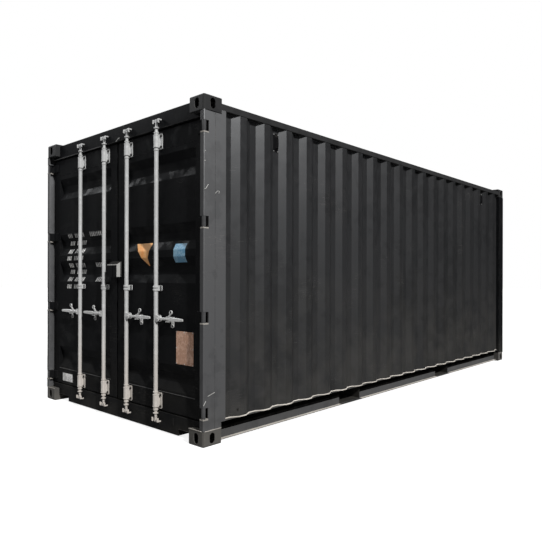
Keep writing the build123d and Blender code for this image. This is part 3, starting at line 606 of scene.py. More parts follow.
FINISH = {
    "frame": painted_steel(
        "black_frame_paint", (0.030, 0.0307, 0.032), 0.5, 0.03, wear=1.0, dust=0.6, ledge=0.8, shade_inside=True
    ),
    # A lighter copy of the frame's black paint: painted light on the sunlit rear posts and on the pieces that
    # use it.
    "post": painted_steel(
        "lit_post_paint", (0.058, 0.059, 0.062), 0.5, 0.03, wear=0.9, dust=0.3, rise=0.5, streaks=0.2
    ),
    # A darker copy of the black paint: painted shade on the door end, its header, sill and beads, and the
    # front posts.
    "cross": painted_steel(
        "shaded_end_paint", (0.0055, 0.0059, 0.0068), 0.42, 0.008, wear=0.5, dust=0.35, ledge=0.5, rise=0.5
    ),
    "sheet": painted_steel(
        "black_wall_paint", (0.0155, 0.0159, 0.017), 0.45, 0.012, wear=0.3, dust=0.4, ledge=0.6, rise=1.7,
        streaks=0.3, dents=0.15,
    ),
    # A darker copy of the black paint: painted shade on the door leaves.
    "door": painted_steel(
        "shaded_door_paint", (0.0052, 0.0055, 0.0062), 0.4, 0.012, wear=0.2, dust=0.25, ledge=0.6, scratch=0.3,
        streaks=0.12, dents=0.3, mottle=1.0,
    ),
    "under": painted_steel("underside_coat", (0.022, 0.021, 0.020), 0.65, 0.05, wear=0.1, dust=0.3),
    # Near black for strips that stand in for shadow: painted shadow on the bottom rails.
    "tar": painted_steel(
        "painted_shadow_black", (0.0015, 0.0015, 0.0014), 0.9, 0.0, wear=0.0, scratch=0.1, dust=0.0, ledge=0.0
    ),
    # Pale paint: dust on the lower casting beads, painted highlight on the hinge lugs.
    "dusty": painted_steel("pale_edge_dust_and_highlight", (0.30, 0.285, 0.265), 0.7, 0.05, wear=0.2, dust=0.3, scratch=0.8),
    "foot": painted_steel(
        "dusty_casting_paint", (0.075, 0.073, 0.070), 0.5, 0.03, wear=1.0, dust=0.7, rise=0.6, shade_inside=True
    ),
    # Pale paint, partly dust and partly painted highlight, on the rail lips and the walls' foot.
    "pale": painted_steel("pale_dust_and_highlight", (0.52, 0.49, 0.45), 0.7, 0.05, wear=0.1, dust=0.3, scratch=0.6),
    # Pale grey: wear on the post's scrapes, partly wear and partly painted highlight on the lock box.
    "bare": painted_steel("grey_wear_and_highlight", (0.36, 0.36, 0.35), 0.45, 0.3, wear=0.3, dust=0.2, scratch=1.0),
    "zinc": galvanised("galvanised_steel", (0.52, 0.53, 0.535), 0.5, 0.12),
    "rubber": plain_dull("seal_rubber", (0.008, 0.008, 0.009), 0.62, 20.0, 0.02),
    "plastic": plain_dull("ventilator_plastic", (0.008, 0.008, 0.009), 0.5, 30.0, 0.03),
    "wood": plywood("floor_plywood"),
    "mark": flat_print("white_marking_paint", (0.82, 0.82, 0.81), (0.45, 0.45, 0.45)),
    "label": flat_print("white_label", (0.88, 0.88, 0.88), (0.6, 0.6, 0.6)),
    "orange": flat_print("orange_patch", (0.90, 0.38, 0.11), (0.90, 0.50, 0.22)),
    "blue": flat_print("blue_patch", (0.11, 0.28, 0.44), (0.26, 0.44, 0.58)),
    "copper": flat_print("copper_plate", (0.66, 0.42, 0.31), (0.52, 0.31, 0.22), 0.4),
}
SLOT_FINISH = {
    "painted_steel": "frame",
    "painted_sheet": "sheet",
    "door_steel": "door",
    "underside_steel": "under",
    "galvanised_steel": "zinc",
    "gasket_rubber": "rubber",
    "floor_plywood": "wood",
    "vent_plastic": "plastic",
}
OWN_FINISH = {
    "bottom_castings": "foot",
    # Own finishes: the rear posts in the lighter copy of the paint, painted light; the front posts, header
    # and sill in the darker copy, painted shade.
    "rear_posts": "post",
    "front_posts": "cross",
    "door_header": "cross",
    "door_sill": "cross",
}


def finish_nodes():
    """Give each carried-over piece its own finish, or else the finish of its slot."""
    slots = {entry["node"]: entry["material_slot"] for entry in frame["record"]["subparts"]}
    for name, piece in nodes.items():
        finish = OWN_FINISH.get(name, SLOT_FINISH[slots[name]])
        piece.data.materials.clear()
        piece.data.materials.append(FINISH[finish])


# Shapes

CREASE = math.radians(35)
BEAD_SPREAD = 0.22


def grid_quads(rows, columns, wrap):
    """Quads between neighbours of a grid of points. With wrap, the last column joins the first."""
    index = np.arange(rows * columns).reshape(rows, columns)
    if wrap:
        index = np.concatenate((index, index[:, :1]), axis=1)
    corners = (index[:-1, :-1], index[:-1, 1:], index[1:, 1:], index[1:, :-1])
    return np.stack(corners, axis=-1).reshape(-1, 4)


def closed_rows(points):
    """A shape from rings of points, with a flat cap on the first ring and on the last."""
    rows, columns = points.shape[:2]
    ring = np.arange(columns)
    caps = np.stack((ring[::-1], ring + (rows - 1) * columns))
    return points.reshape(-1, 3), [grid_quads(rows, columns, True), caps]


def swept(path, radius, sides, up=UPRIGHT):
    """A round bead along a path: point = path + radius (cos a U + sin a V), U and V square to the path."""
    path = np.asarray(path, float)
    along = np.gradient(path, axis=0)
    along /= np.linalg.norm(along, axis=1, keepdims=True)
    first = np.asarray(up) - (along @ np.asarray(up))[:, None] * along
    first /= np.linalg.norm(first, axis=1, keepdims=True)
    second = np.cross(along, first)
    angle = np.arange(sides) * TAU / sides
    size = np.broadcast_to(np.asarray(radius, float), (len(path),))[:, None, None]
    ring = np.cos(angle)[None, :, None] * first[:, None] + np.sin(angle)[None, :, None] * second[:, None]
    return closed_rows(path[:, None] + size * ring)


def turned(profile, axis, sides):
    """A turned shape: each (radius, height) of the profile becomes a ring round the axis."""
    profile = np.asarray(profile, float)
    axis = np.asarray(axis, float)
    first = np.roll(axis, 1)
    second = np.cross(axis, first)
    angle = np.arange(sides) * TAU / sides
    ring = np.cos(angle)[:, None] * first + np.sin(angle)[:, None] * second
    return closed_rows(profile[:, 0][:, None, None] * ring + profile[:, 1][:, None, None] * axis)


def plate(outline, place, across, up, thickness, chamfer=0.0008):
    """A flat plate: its outline at the back and at the front, and drawn in by the chamfer on the face."""
    outline = np.asarray(outline, float)
    across, up = np.asarray(across, float), np.asarray(up, float)
    out = np.cross(across, up)
    after = np.roll(outline, -1, axis=0) - outline
    after /= np.linalg.norm(after, axis=1, keepdims=True)
    turn_out = np.stack((after[:, 1], -after[:, 0]), axis=1)
    before_out = np.roll(turn_out, 1, axis=0)
    lean = (turn_out + before_out) / (1 + np.sum(turn_out * before_out, axis=1, keepdims=True))
    rings = []
    for inset, lift in ((0.0, 0.0), (0.0, thickness - chamfer), (chamfer, thickness)):
        flat = outline - inset * lean
        rings.append(np.asarray(place) + flat[:, :1] * across + flat[:, 1:] * up + lift * out)
    return closed_rows(np.stack(rings))


def rectangle_outline(x0, z0, x1, z1):
    """Corners of a rectangle, anticlockwise."""
    return np.array(((x0, z0), (x1, z0), (x1, z1), (x0, z1)))


def block(low, high, chamfer=0.0015):
    """A block with cut edges: four rings of eight points, drawn in at its foot and its head."""
    low, high = np.asarray(low, float), np.asarray(high, float)
    x0, y0, z0 = low
    x1, y1, z1 = high
    c = min(chamfer, 0.45 * float((high - low).min()))

    def ring(inset, z):
        """The eight corners of one level, drawn in by the inset."""
        a0, b0, a1, b1 = x0 + inset, y0 + inset, x1 - inset, y1 - inset
        return [
            (a0 + c, b0, z), (a1 - c, b0, z), (a1, b0 + c, z), (a1, b1 - c, z),
            (a1 - c, b1, z), (a0 + c, b1, z), (a0, b1 - c, z), (a0, b0 + c, z),
        ]

    return closed_rows(np.array((ring(c, z0), ring(0, z0 + c), ring(0, z1 - c), ring(c, z1))))


def repeated(shape, places):
    """Copies of a shape: the points of each copy are the shape's own plus the copy's place."""
    points, faces = shape
    places = np.asarray(places, float)
    every = (points[None] + places[:, None]).reshape(-1, 3)
    shift = (np.arange(len(places)) * len(points))[:, None, None]
    return every, [(part[None] + shift).reshape(-1, part.shape[1]) for part in faces]


def mirrored(shape):
    """The mirror image of a shape about the middle plane, with its faces turned the right way again."""
    points, faces = shape
    return points * np.array((-1.0, 1.0, 1.0)), [part[:, ::-1] for part in faces]


def make_piece(name, shapes, finish, body, replaced=()):
    """One object from several shapes, on its body, with its finish."""
    points, corners, widths, start = [], [], [], 0
    for shape_points, shape_faces in shapes:
        points.append(shape_points)
        for part in shape_faces:
            corners.append((part + start).ravel())
            widths.append(np.full(len(part), part.shape[1]))
        start += len(shape_points)
    points, corners, widths = np.concatenate(points), np.concatenate(corners), np.concatenate(widths)
    mesh = bpy.data.meshes.new(name)
    mesh.vertices.add(len(points))
    mesh.vertices.foreach_set("co", points.astype(np.float32).ravel())
    mesh.loops.add(len(corners))
    mesh.loops.foreach_set("vertex_index", corners.astype(np.int32))
    mesh.polygons.add(len(widths))
    mesh.polygons.foreach_set("loop_start", (np.cumsum(widths) - widths).astype(np.int32))
    mesh.update(calc_edges=True)
    mesh.validate()
    mesh.set_sharp_from_angle(angle=CREASE)
    piece = bpy.data.objects.new(name, mesh)
    bpy.context.scene.collection.objects.link(piece)
    mesh.materials.append(FINISH[finish])
    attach(piece, body)
    if replaced:
        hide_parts(*replaced)
    return piece


def uneven(count, size, seed):
    """A run of bead sizes: the size times one plus a smoothed run of seeded random numbers."""
    raw = np.random.default_rng(seed).normal(0.0, 1.0, count + 4)
    smooth_run = np.convolve(raw, np.ones(5) / 5, mode="valid")
    return size * (1 + BEAD_SPREAD * smooth_run)


def dense(corners, step):
    """A polyline through its corners with points at most a step apart."""
    corners = np.asarray(corners, float)
    runs = []
    for start, end in zip(corners[:-1], corners[1:]):
        count = max(1, int(np.ceil(np.linalg.norm(end - start) / step)))
        runs.append(start + (end - start) * (np.arange(count) / count)[:, None])
    return np.concatenate(runs + [corners[-1:]])


def bead(corners, radius, step=0.012, seed=1, up=UPRIGHT):
    """A weld bead along a polyline, its size uneven."""
    path = dense(corners, step)
    return swept(path, uneven(len(path), radius, seed), 6, up)


def both_sides(shapes):
    """The shapes and their mirror images about the middle plane."""
    return shapes + [mirrored(shape) for shape in shapes]


def on_side(side, shapes):
    """Shapes made for the right door, or their mirror images for the left one."""
    return shapes if side == "right" else [mirrored(shape) for shape in shapes]


# Weld beads on the frame

STEP_IN = 0.001
POCKET_CENTRE = 1.040
POCKET_HALF = 0.180
WAVES = 20
WAVE_DEPTH = 0.036


def casting_beads(z):
    """Beads where each casting meets its post and its rails, round the two outer faces, at one height."""
    x_out, x_in = HALF_WIDTH - STEP_IN, HALF_WIDTH - CASTING_WIDTH
    cut = 0.016
    shapes = []
    for side in (-1, 1):
        for end in (-1, 1):
            y_out, y_in = end * (HALF_LENGTH - STEP_IN), end * (HALF_LENGTH - CASTING_LENGTH)
            round_corner = (
                (side * x_in, y_out, z), (side * (x_out - cut), y_out, z),
                (side * x_out, y_out - end * cut, z), (side * x_out, y_in, z),
            )
            shapes.append(bead(round_corner, 0.0036, seed=11 + len(shapes)))
    return shapes


def wall_line(side, lift):
    """The side wall's waves as a line just outside the sheet, at one height."""
    low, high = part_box("side_walls")
    outer = HALF_WIDTH - 0.006
    inner = outer - WAVE_DEPTH
    crest, root, first_slope = 0.072, 0.070, 0.1575
    pitch = (high.y - low.y - 2 * first_slope - crest) / (WAVES - 1)
    slope = (pitch - crest - root) / 2
    corners = [(inner, low.y)]
    for wave in range(WAVES):
        y = low.y + first_slope + wave * pitch
        corners += [(inner, y - slope), (outer, y), (outer, y + crest), (inner, y + crest + slope)]
    corners.append((inner, high.y))
    return [(side * x, y, lift) for x, y in corners]


def wall_beads():
    """A bead along the foot of each side wall, where the sheet meets the rail."""
    return [bead(wall_line(side, RAIL_TOP + 0.002), 0.0058, 0.03, 40 + side) for side in (-1, 1)]


def header_lip(first, last):
    """A thin drip lip along a length of the header's lower edge, left out where the locking bars pass."""
    gap = 0.034
    edges = [first]
    for x in sorted(side * x for side in (-1, 1) for x in BAR_PLACES.values()):
        if first < x < last:
            edges += [x - gap, x + gap]
    edges.append(last)
    y0, y1 = HEADER_FACE - 0.012, HEADER_FACE + 0.001
    z0, z1 = HEADER_BOTTOM + 0.0005, HEADER_BOTTOM + 0.007
    return [block((x0, y0, z0), (x1, y1, z1), 0.001) for x0, x1 in zip(edges[::2], edges[1::2])]


def sill_beads():
    """On each half of the sill, an upright bead beside its recess and one along the recess's upper edge."""
    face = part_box("door_sill")[0].y
    beside, foot, head = 0.803, 0.083, 0.139
    inner, outer, level = 0.87, 1.056, 0.066
    shapes = []
    for side in (-1, 1):
        upright = [(side * beside, face, foot), (side * beside, face, head)]
        flat = [(side * inner, face, level), (side * outer, face, level)]
        shapes.append(bead(upright, 0.003, seed=60, up=ACROSS))
        shapes.append(bead(flat, 0.0025, seed=61))
    return shapes


def post_beads():
    """Upright beads on the rear posts, where the outer channel meets the inner box."""
    depth = DOOR_END + 0.113
    shapes = []
    for side in (-1, 1):
        upright = [(side * HALF_WIDTH, depth, CASTING_HEIGHT), (side * HALF_WIDTH, depth, UPPER_FRAME)]
        shapes.append(bead(upright, 0.0012, 0.05, 70 + side, ALONG))
    return shapes


def rail_strips(inner, outer, low_z, high_z):
    """A thin strip along the three lengths of each bottom side rail, clear of the fork pockets."""
    end = HALF_LENGTH - CASTING_LENGTH
    far, near = POCKET_CENTRE + POCKET_HALF, POCKET_CENTRE - POCKET_HALF
    gap = 0.001
    return both_sides([
        block((inner, y0 + gap, low_z), (outer, y1 - gap, high_z), 0.0006)
        for y0, y1 in ((-end, -far), (-near, near), (far, end))
    ])


def drain_plugs():
    """A small dark plug near the foot of each side wall, beside the posts with the hinges."""
    place_y, level = -2.66, 0.2202
    line = np.array(wall_line(1, level))
    order = np.argsort(line[:, 1])
    x = float(np.interp(place_y, line[order, 1], line[order, 0]))
    plug = turned(((0.0115, -0.006), (0.0115, 0.0012), (0.0085, 0.0020)), ACROSS, 16)
    return both_sides([repeated(plug, [(x, place_y, level)])])


def lug_edges():
    """Pale strips round the lower lug of each hinge: painted highlight on the lugs' edges."""
    x0, x1 = HALF_WIDTH - 0.040, HALF_WIDTH + 0.0006
    y0, y1 = DOOR_END - 0.0008, DOOR_END + 0.050
    return both_sides([
        block((x0, y0, level - 0.0525), (x1, y1, level - 0.0398), 0.002) for level in HINGE_LEVELS
    ])


def post_scrapes():
    """Raised scrapes in the paint of the right rear post, and a curl on the header."""
    lines = (
        ((-3.027, 1.887), (-3.010, 1.893), (-2.986, 1.926)),
        ((-2.917, 1.868), (-2.893, 1.889), (-2.876, 1.889), (-2.880, 1.872)),
        ((-2.986, 0.373), (-2.950, 0.384), (-2.917, 0.392)),
        ((-3.027, 0.310), (-3.005, 0.340)),
        ((-3.020, 2.1667), (-3.010, 2.172)),
        ((-3.024, 2.094), (-3.014, 2.098)),
    )
    shapes = []
    for count, line in enumerate(lines):
        corners = [(HALF_WIDTH + 0.0002, y, z) for y, z in line]
        shapes.append(bead(corners, 0.0026, 0.006, 90 + count, ACROSS))
    curl = ((-0.031, 2.447), (-0.004, 2.458), (0.018, 2.470), (0.031, 2.473))
    shapes.append(bead([(x, HEADER_FACE, z) for x, z in curl], 0.0042, 0.008, 99))
    return shapes


def knuckle_sleeves():
    """A lighter sleeve round each hinge knuckle of the right door, in the lighter post paint: painted light.
    """
    sleeve = turned(((0.0150, -0.039), (0.0156, -0.037), (0.0156, 0.037), (0.0150, 0.039)), UPRIGHT, 24)
    return [repeated(sleeve, [(*HINGE_PIN, level) for level in HINGE_LEVELS])]


# Ventilators

def vent_middles():
    """The middle of each ventilator along the wall."""
    low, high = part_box("ventilators")
    half_length = 0.035
    return low.y + half_length, high.y - half_length


def vent_hoods():
    """Hoods on the side walls: a rim, five slats and a front that rises as the fourth root of a sine."""
    low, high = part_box("ventilators")
    outer, inner = high.x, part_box("side_walls")[1].x - WAVE_DEPTH
    base_half, front_half, rim_half, slat_half = 0.027, 0.018, 0.030, 0.015
    share = np.linspace(0.0, 1.0, 9)
    level = (low.z + 0.010 + share * (high.z - low.z - 0.020))[:, None]
    front = inner + 0.003 + (outer - inner - 0.004) * np.sin(math.pi * share) ** 0.25
    base = np.full(9, inner + 0.002)
    x = np.stack((base, front, front + 0.0008, front, base), axis=1)
    across = np.array((-base_half, -front_half, 0.0, front_half, base_half))[None]
    shapes = []
    for y in vent_middles():
        rim_low, rim_high = (inner + 0.0003, y - rim_half, low.z), (inner + 0.004, y + rim_half, high.z)
        shapes.append(block(rim_low, rim_high, 0.001))
        shapes.append(closed_rows(np.stack(np.broadcast_arrays(x, y + across, level), axis=-1)))
        for slat in range(5):
            z = low.z + 0.030 + slat * 0.021
            shapes.append(block(
                (outer - 0.003, y - slat_half, z), (outer + 0.0004, y + slat_half, z + 0.006), 0.0012
            ))
    return both_sides(shapes)


def vent_screws():
    """Four bright screws at the corners of each ventilator."""
    low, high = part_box("ventilators")
    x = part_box("side_walls")[1].x - 0.0325
    head = turned(((0.0042, 0.0), (0.0042, 0.0018), (0.0028, 0.0032)), ACROSS, 8)
    places = [
        (x, y + offset, z)
        for y in vent_middles()
        for offset in (-0.0255, 0.0255)
        for z in (low.z + 0.005, high.z - 0.005)
    ]
    return both_sides([repeated(head, places)])


# Door furniture

STRAP_BOLT = turned(
    ((0.0075, 0.0), (0.0075, 0.0012), (0.0062, 0.0013), (0.0062, 0.0050), (0.0050, 0.0060)), FORWARD, 6
)
GUIDE_BOLT = turned(
    ((0.0110, 0.0), (0.0110, 0.0020), (0.0090, 0.0021), (0.0090, 0.0080), (0.0074, 0.0094)), FORWARD, 8
)
GUIDE_FACE = LEAF_FACE - 0.006
GUIDE_HEIGHT = 0.128
EAR_REACH = 0.036
STRAP_LEVEL = 1.157
STRAP_LEVELS = (STRAP_LEVEL - 0.0115, STRAP_LEVEL + 0.0115)
HANDLE_LEVEL = 0.915
CATCH_FACE = LEAF_FACE - 0.024
HINGE_LEVELS = (0.249, 0.9513, 1.6537, 2.356)
HINGE_PIN = (HALF_WIDTH - 0.015, DOOR_END + 0.015)


def guide_feet(side):
    """The lower ends of the two tall guides of each bar."""
    low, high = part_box(f"{side}_bar_guides")
    return low.z, high.z - GUIDE_HEIGHT


def guide_bolts(side):
    """Dark bolts through the ears of the guides: two an ear on the tall guides, one on each strap."""
    ears = [SIDES[side] * (x + ear * EAR_REACH) for x in BAR_PLACES.values() for ear in (-1, 1)]
    levels = [foot + share * GUIDE_HEIGHT for foot in guide_feet(side) for share in (0.15, 0.85)]
    tall = repeated(GUIDE_BOLT, [(x, GUIDE_FACE, z) for x in ears for z in levels])
    short = repeated(STRAP_BOLT, [(x, GUIDE_FACE, z) for x in ears for z in STRAP_LEVELS])
    return [tall, short]


def half_ring(x, z, radius):
    """A half circle round the front of a bar: x + r cos a, bar axis - r sin a, at one height."""
    angle = np.linspace(0.0, math.pi, 15)
    return np.stack((x + radius * np.cos(angle), BAR_AXIS - radius * np.sin(angle), np.full(15, z)), axis=1)


def guide_ribs(side):
    """Pressed ribs round each tall guide's hood and two straps round each short one."""
    shapes = []
    for x in BAR_PLACES.values():
        place = SIDES[side] * x
        for foot in guide_feet(side):
            for rise in (0.016, 0.112):
                shapes.append(swept(half_ring(place, foot + rise, 0.0225), 0.0026, 6))
        for level in STRAP_LEVELS:
            shapes.append(swept(half_ring(place, level, 0.0205), 0.0052, 8))
    return shapes


def guide_joints(side):
    """Dark joints between the two straps and on their ears, and two short slots at each tall guide's edge."""
    y0, y1 = GUIDE_FACE - 0.0006, GUIDE_FACE + 0.001
    joint_low, joint_high = STRAP_LEVEL - 0.0018, STRAP_LEVEL + 0.0018
    shapes = []
    for x in BAR_PLACES.values():
        place = SIDES[side] * x
        shapes.append(swept(half_ring(place, STRAP_LEVEL, 0.0228), 0.0016, 6))
        for ear in (place - 0.0355, place + 0.0355):
            shapes.append(block((ear - 0.013, y0, joint_low), (ear + 0.013, y1, joint_high), 0.0004))
        for foot in guide_feet(side):
            for slot in (foot + 0.020, foot + GUIDE_HEIGHT - 0.030):
                shapes.append(block((place - 0.0283, y0, slot), (place - 0.0223, y1, slot + 0.010), 0.0004))
    return shapes


# Locking bars, cams and keepers, with their outlines in millimetres

EYE_REACH = 0.040
CAM_OUTLINE = 0.001 * np.array((
    (-7, -22), (7, -22), (7, 29), (16, 33), (21, 29), (22, 16), (28, 16), (30, 38), (20, 47), (3, 44),
    (-9, 47), (-18, 40), (-18, 18), (-12, 18), (-11, 31), (-7, 29),
))
FORK_OUTLINE = 0.001 * np.array(((8, -26), (40, -26), (54, -18), (56, 0), (54, 18), (40, 26), (8, 26)))
KEEPER_OUTLINE = 0.001 * np.array((
    (0, 37), (26, 37), (27, 14), (35, 14), (38, 18), (38, 42), (32, 48), (0, 48)
))
HANDLE_EDGE = 0.001 * np.array((
    (40, 14), (56, 13.5), (70, 10.5), (90, 9), (115, 10), (140, 8.5), (170, 9), (184, 14), (192, 15),
    (240, 14.5), (300, 12.5), (340, 10), (346, 6),
))
UPSIDE_DOWN = np.array((1.0, -1.0))
FRONT_STUD = turned(
    ((0.0070, 0.0110), (0.0070, 0.0172), (0.0105, 0.0174), (0.0105, 0.0205), (0.0085, 0.0225)), FORWARD, 16
)
BACK_STUD = turned(((0.0070, -0.0200), (0.0070, -0.0110)), FORWARD, 16)
HANDLE_EYE_SHAPE = turned(
    ((0.0175, -0.0105), (0.0185, -0.0095), (0.0185, 0.0095), (0.0175, 0.0105)), FORWARD, 24
)
# A dark disc in each eye's hole: painted shade in the hole.
EYE_SHADE_DISC = turned(((0.0095, -0.002), (0.0095, 0.0012), (0.0070, 0.0018)), FORWARD, 14)


def bar_shapes(side, place):
    """A locking bar: a turned tube with necks, rings and collars, two cams and the fork for its handle."""
    x = BAR_PLACES[place]
    low, high = BARS[place][1]
    to_cam = 0.044
    foot, head = low.z + to_cam, high.z - to_cam
    lower, upper = (corner.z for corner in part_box(f"{side}_bar_guides"))
    lower_end, upper_end = lower + GUIDE_HEIGHT, upper - GUIDE_HEIGHT
    pin, neck, shank, band, collar = 0.0100, 0.0115, 0.0125, 0.0205, 0.0215
    profile = (
        (pin, foot - 0.004), (pin, foot + 0.018), (collar, foot + 0.020), (collar, foot + 0.027),
        (neck, foot + 0.029), (shank, lower - 0.014), (band, lower - 0.012), (band, lower - 0.002),
        (BAR_RADIUS, lower - 0.001), (BAR_RADIUS, lower_end + 0.001), (band, lower_end + 0.002),
        (band, lower_end + 0.010), (BAR_RADIUS, lower_end + 0.012), (BAR_RADIUS, upper_end - 0.012),
        (band, upper_end - 0.010), (band, upper_end - 0.002), (BAR_RADIUS, upper_end - 0.001),
        (BAR_RADIUS, upper + 0.001), (band, upper + 0.002), (band, upper + 0.010), (shank, upper + 0.012),
        (neck, head - 0.029), (collar, head - 0.027), (collar, head - 0.020), (0.0105, head - 0.019),
        (pin, head + 0.004),
    )
    shapes = [repeated(turned(profile, UPRIGHT, 28), [(x, BAR_AXIS, 0.0)])]
    cam_back = BAR_AXIS + 0.008
    for outline, level in ((CAM_OUTLINE, head), (CAM_OUTLINE[::-1] * UPSIDE_DOWN, foot)):
        shapes.append(plate(outline, (x, cam_back, level), ACROSS, UPRIGHT, 0.016, 0.002))
    for cheek in (BAR_AXIS + 0.017, BAR_AXIS - 0.011):
        shapes.append(plate(FORK_OUTLINE, (x, cheek, HANDLE_LEVEL), ACROSS, UPRIGHT, 0.006, 0.0015))
    half_deep, half_tall = 0.0112, 0.026
    shapes.append(block(
        (x + 0.006, BAR_AXIS - half_deep, HANDLE_LEVEL - half_tall),
        (x + 0.0185, BAR_AXIS + half_deep, HANDLE_LEVEL + half_tall),
    ))
    for stud in (FRONT_STUD, BACK_STUD):
        shapes.append(repeated(stud, [(x + EYE_REACH, BAR_AXIS, HANDLE_LEVEL)]))
    return shapes


def handle_shapes(place):
    """A handle: a thick eye in the bar's fork, a narrow arm and a blade that tapers to its tip."""
    x = BAR_PLACES[place]
    outline = np.concatenate((HANDLE_EDGE * UPSIDE_DOWN, HANDLE_EDGE[::-1]))
    arm = plate(outline, (x, BAR_AXIS + 0.0003, HANDLE_LEVEL), ACROSS, UPRIGHT, 0.0105, 0.0030)
    return [arm, repeated(HANDLE_EYE_SHAPE, [(x + EYE_REACH, BAR_AXIS, HANDLE_LEVEL)])]


def keeper_shapes():
    """Hooked cheeks beside each cam, on the header and on the sill."""
    low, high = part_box("cam_keepers")
    height, thickness = 0.050, 0.008
    hook_down = (KEEPER_OUTLINE * UPSIDE_DOWN + np.array((0.0, height)))[::-1]
    root = low.y + 0.038
    shapes = []
    for x in BAR_PLACES.values():
        for right_face in (x - 0.036 + thickness, x + 0.032 + thickness):
            for outline, foot in ((KEEPER_OUTLINE, high.z - height), (hook_down, low.z)):
                shapes.append(plate(outline, (right_face, root, foot), FORWARD, UPRIGHT, thickness, 0.0012))
    return both_sides(shapes)


def eye_rim(centre):
    """A round rim in an upright plane: centre + r (cos a across, sin a up), with a round section."""
    angle = np.linspace(0.0, TAU, 25)
    radius = 0.0132
    path = np.stack((radius * np.cos(angle), np.zeros(25), radius * np.sin(angle)), axis=1)
    return swept(np.asarray(centre) + path, 0.0036, 8, ALONG)


def eye_middle(side, place, drop, face):
    """The middle of an eye of a rest or a catch."""
    return (SIDES[side] * (BAR_PLACES[place] + 0.187), face, HANDLE_LEVEL + drop)


def seal_lip(side):
    """A rubber seal round the leaf: two round beads carried round a rectangle, and a thin lip a side."""
    low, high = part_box(f"{side}_door_gasket")
    inset, edge, lip = 0.0045, 0.001, 0.005
    x0, x1 = low.x + inset, high.x - inset
    z0, z1 = low.z + inset, high.z - inset
    middle = (low.y + high.y) / 2
    shapes = []
    for y, size in ((middle - 0.0025, 0.0042), (middle + 0.0028, 0.0030)):
        loop = np.array(((x0, y, z0), (x1, y, z0), (x1, y, z1), (x0, y, z1), (x0, y, z0)))
        shapes.append(swept(dense(loop, 0.1), size, 8, ALONG))
    left, right, foot, head = low.x + edge, high.x - edge, low.z + edge, high.z - edge
    for first_x, first_z, last_x, last_z in (
        (left, foot, right, low.z + lip), (left, high.z - lip, right, head),
        (left, foot, low.x + lip, head), (high.x - lip, foot, right, head),
    ):
        shapes.append(block((first_x, low.y, first_z), (last_x, high.y, last_z), 0.001))
    return shapes


def panel_seam(side, upper):
    """The bead where the pressed panel meets the leaf's frame, at its head or at its foot."""
    low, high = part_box(f"{side}_door_panel")
    level, radius = (high.z, 0.0016) if upper else (low.z, 0.0032)
    return [bead([(low.x, LEAF_FACE, level), (high.x, LEAF_FACE, level)], radius, 0.03, 81, ALONG)]


def lock_box_edges(side):
    """Pale grey metal along the lock box, partly wear and partly painted highlight: the front edge of its
    top, and the plate at its right end.
    """
    low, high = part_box(f"{side}_lock_box")
    front_top = low.z + 0.111
    shapes = [block(
        (low.x, low.y - 0.0012, front_top - 0.007), (high.x, low.y + 0.004, front_top + 0.0012), 0.0006
    )]
    if side == "right":
        front, back, foot = low.y + 0.001, high.y - 0.001, low.z + 0.002
        outline = ((front, foot), (back, foot), (back, high.z - 0.002), (front, front_top - 0.001))
        shapes.append(plate(outline, (high.x - 0.0002, 0.0, 0.0), ALONG, UPRIGHT, 0.0012, 0.0004))
    return shapes


# Marks and plates on the doors

SWAGE_FEET = (0.347, 1.200, 1.464, 2.025)
SWAGE_SLOPE, SWAGE_FLAT, SWAGE_DEPTH = 0.068, 0.070, 0.036


def panel_depth(z):
    """How far the pressed panel lies behind the leaf's face at a height."""
    depth = np.zeros_like(z)
    for foot in SWAGE_FEET:
        top = foot + 2 * SWAGE_SLOPE + SWAGE_FLAT
        rise = np.minimum(z - foot, top - z) / SWAGE_SLOPE
        depth = np.maximum(depth, SWAGE_DEPTH * np.clip(rise, 0.0, 1.0))
    return depth


def draped(left, right, high_z, low_z, rows, columns, lift=0.0009, lean=0.0):
    """A thin patch on the panel: x runs between two edges, y follows the panel, the rim turns back."""
    share = np.linspace(0.0, 1.0, rows)[:, None]
    across = np.linspace(0.0, 1.0, columns)[None]
    z = low_z + (high_z - low_z) * share + 0.0 * across
    x = np.interp(share, *left) * (1 - across) + np.interp(share, *right) * across + lean * (share - 0.5)
    from_ends, from_edges = np.minimum(share, 1 - share), np.minimum(across, 1 - across)
    rim = np.minimum(from_ends * (rows - 1), from_edges * (columns - 1))
    y = LEAF_FACE + panel_depth(z) - 0.0003 - lift * np.clip(rim, 0.0, 1.0)
    points = np.stack((x, y, z), axis=-1)
    return points.reshape(-1, 3), [grid_quads(rows, columns, False)]


def straight(x):
    """An edge that stays at one x."""
    return (0.0, 1.0), (x, x)


def plain_marks():
    """Rows of plain short bars, white and slanted, on the left door."""
    width, pitch, height, lean = 0.020, 0.030, 0.040, 0.012
    rows = (1.655, 1.582, 1.500, 1.432, 1.362, 1.298, 1.226, 1.154)
    runs = {
        -0.905: (3, rows), -0.772: (6, rows), -0.492: (7, rows[:1]), -0.400: (5, rows[4:5]),
        -0.376: (4, rows[6:7]),
    }
    shapes = []
    for start, (count, levels) in runs.items():
        for z in levels:
            for number in range(count):
                left, right = straight(start + number * pitch), straight(start + number * pitch + width)
                shapes.append(draped(left, right, z + height / 2, z - height / 2, 6, 3, 0.0004, lean))
    return shapes


def white_label():
    """A bare white label low on the left door."""
    outline = rectangle_outline(-0.994, 0.205, -0.800, 0.283)
    return [plate(outline, (0, LEAF_FACE, 0), ACROSS, UPRIGHT, 0.0008, 0.0003)]


def orange_patch():
    """A plain patch that narrows to a point at its foot, bent over the edge of a swage."""
    levels = (0.0, 0.32, 0.655, 1.0)
    left = (levels, (0.431, 0.366, 0.312, 0.252))
    right = (levels, (0.437, 0.447, 0.468, 0.478))
    return [draped(left, right, 1.530, 1.339, 24, 7)]


def blue_patch():
    """A plain upright patch, bent over the edge of a swage."""
    return [draped(straight(0.792), straight(0.936), 1.510, 1.362, 20, 7)]


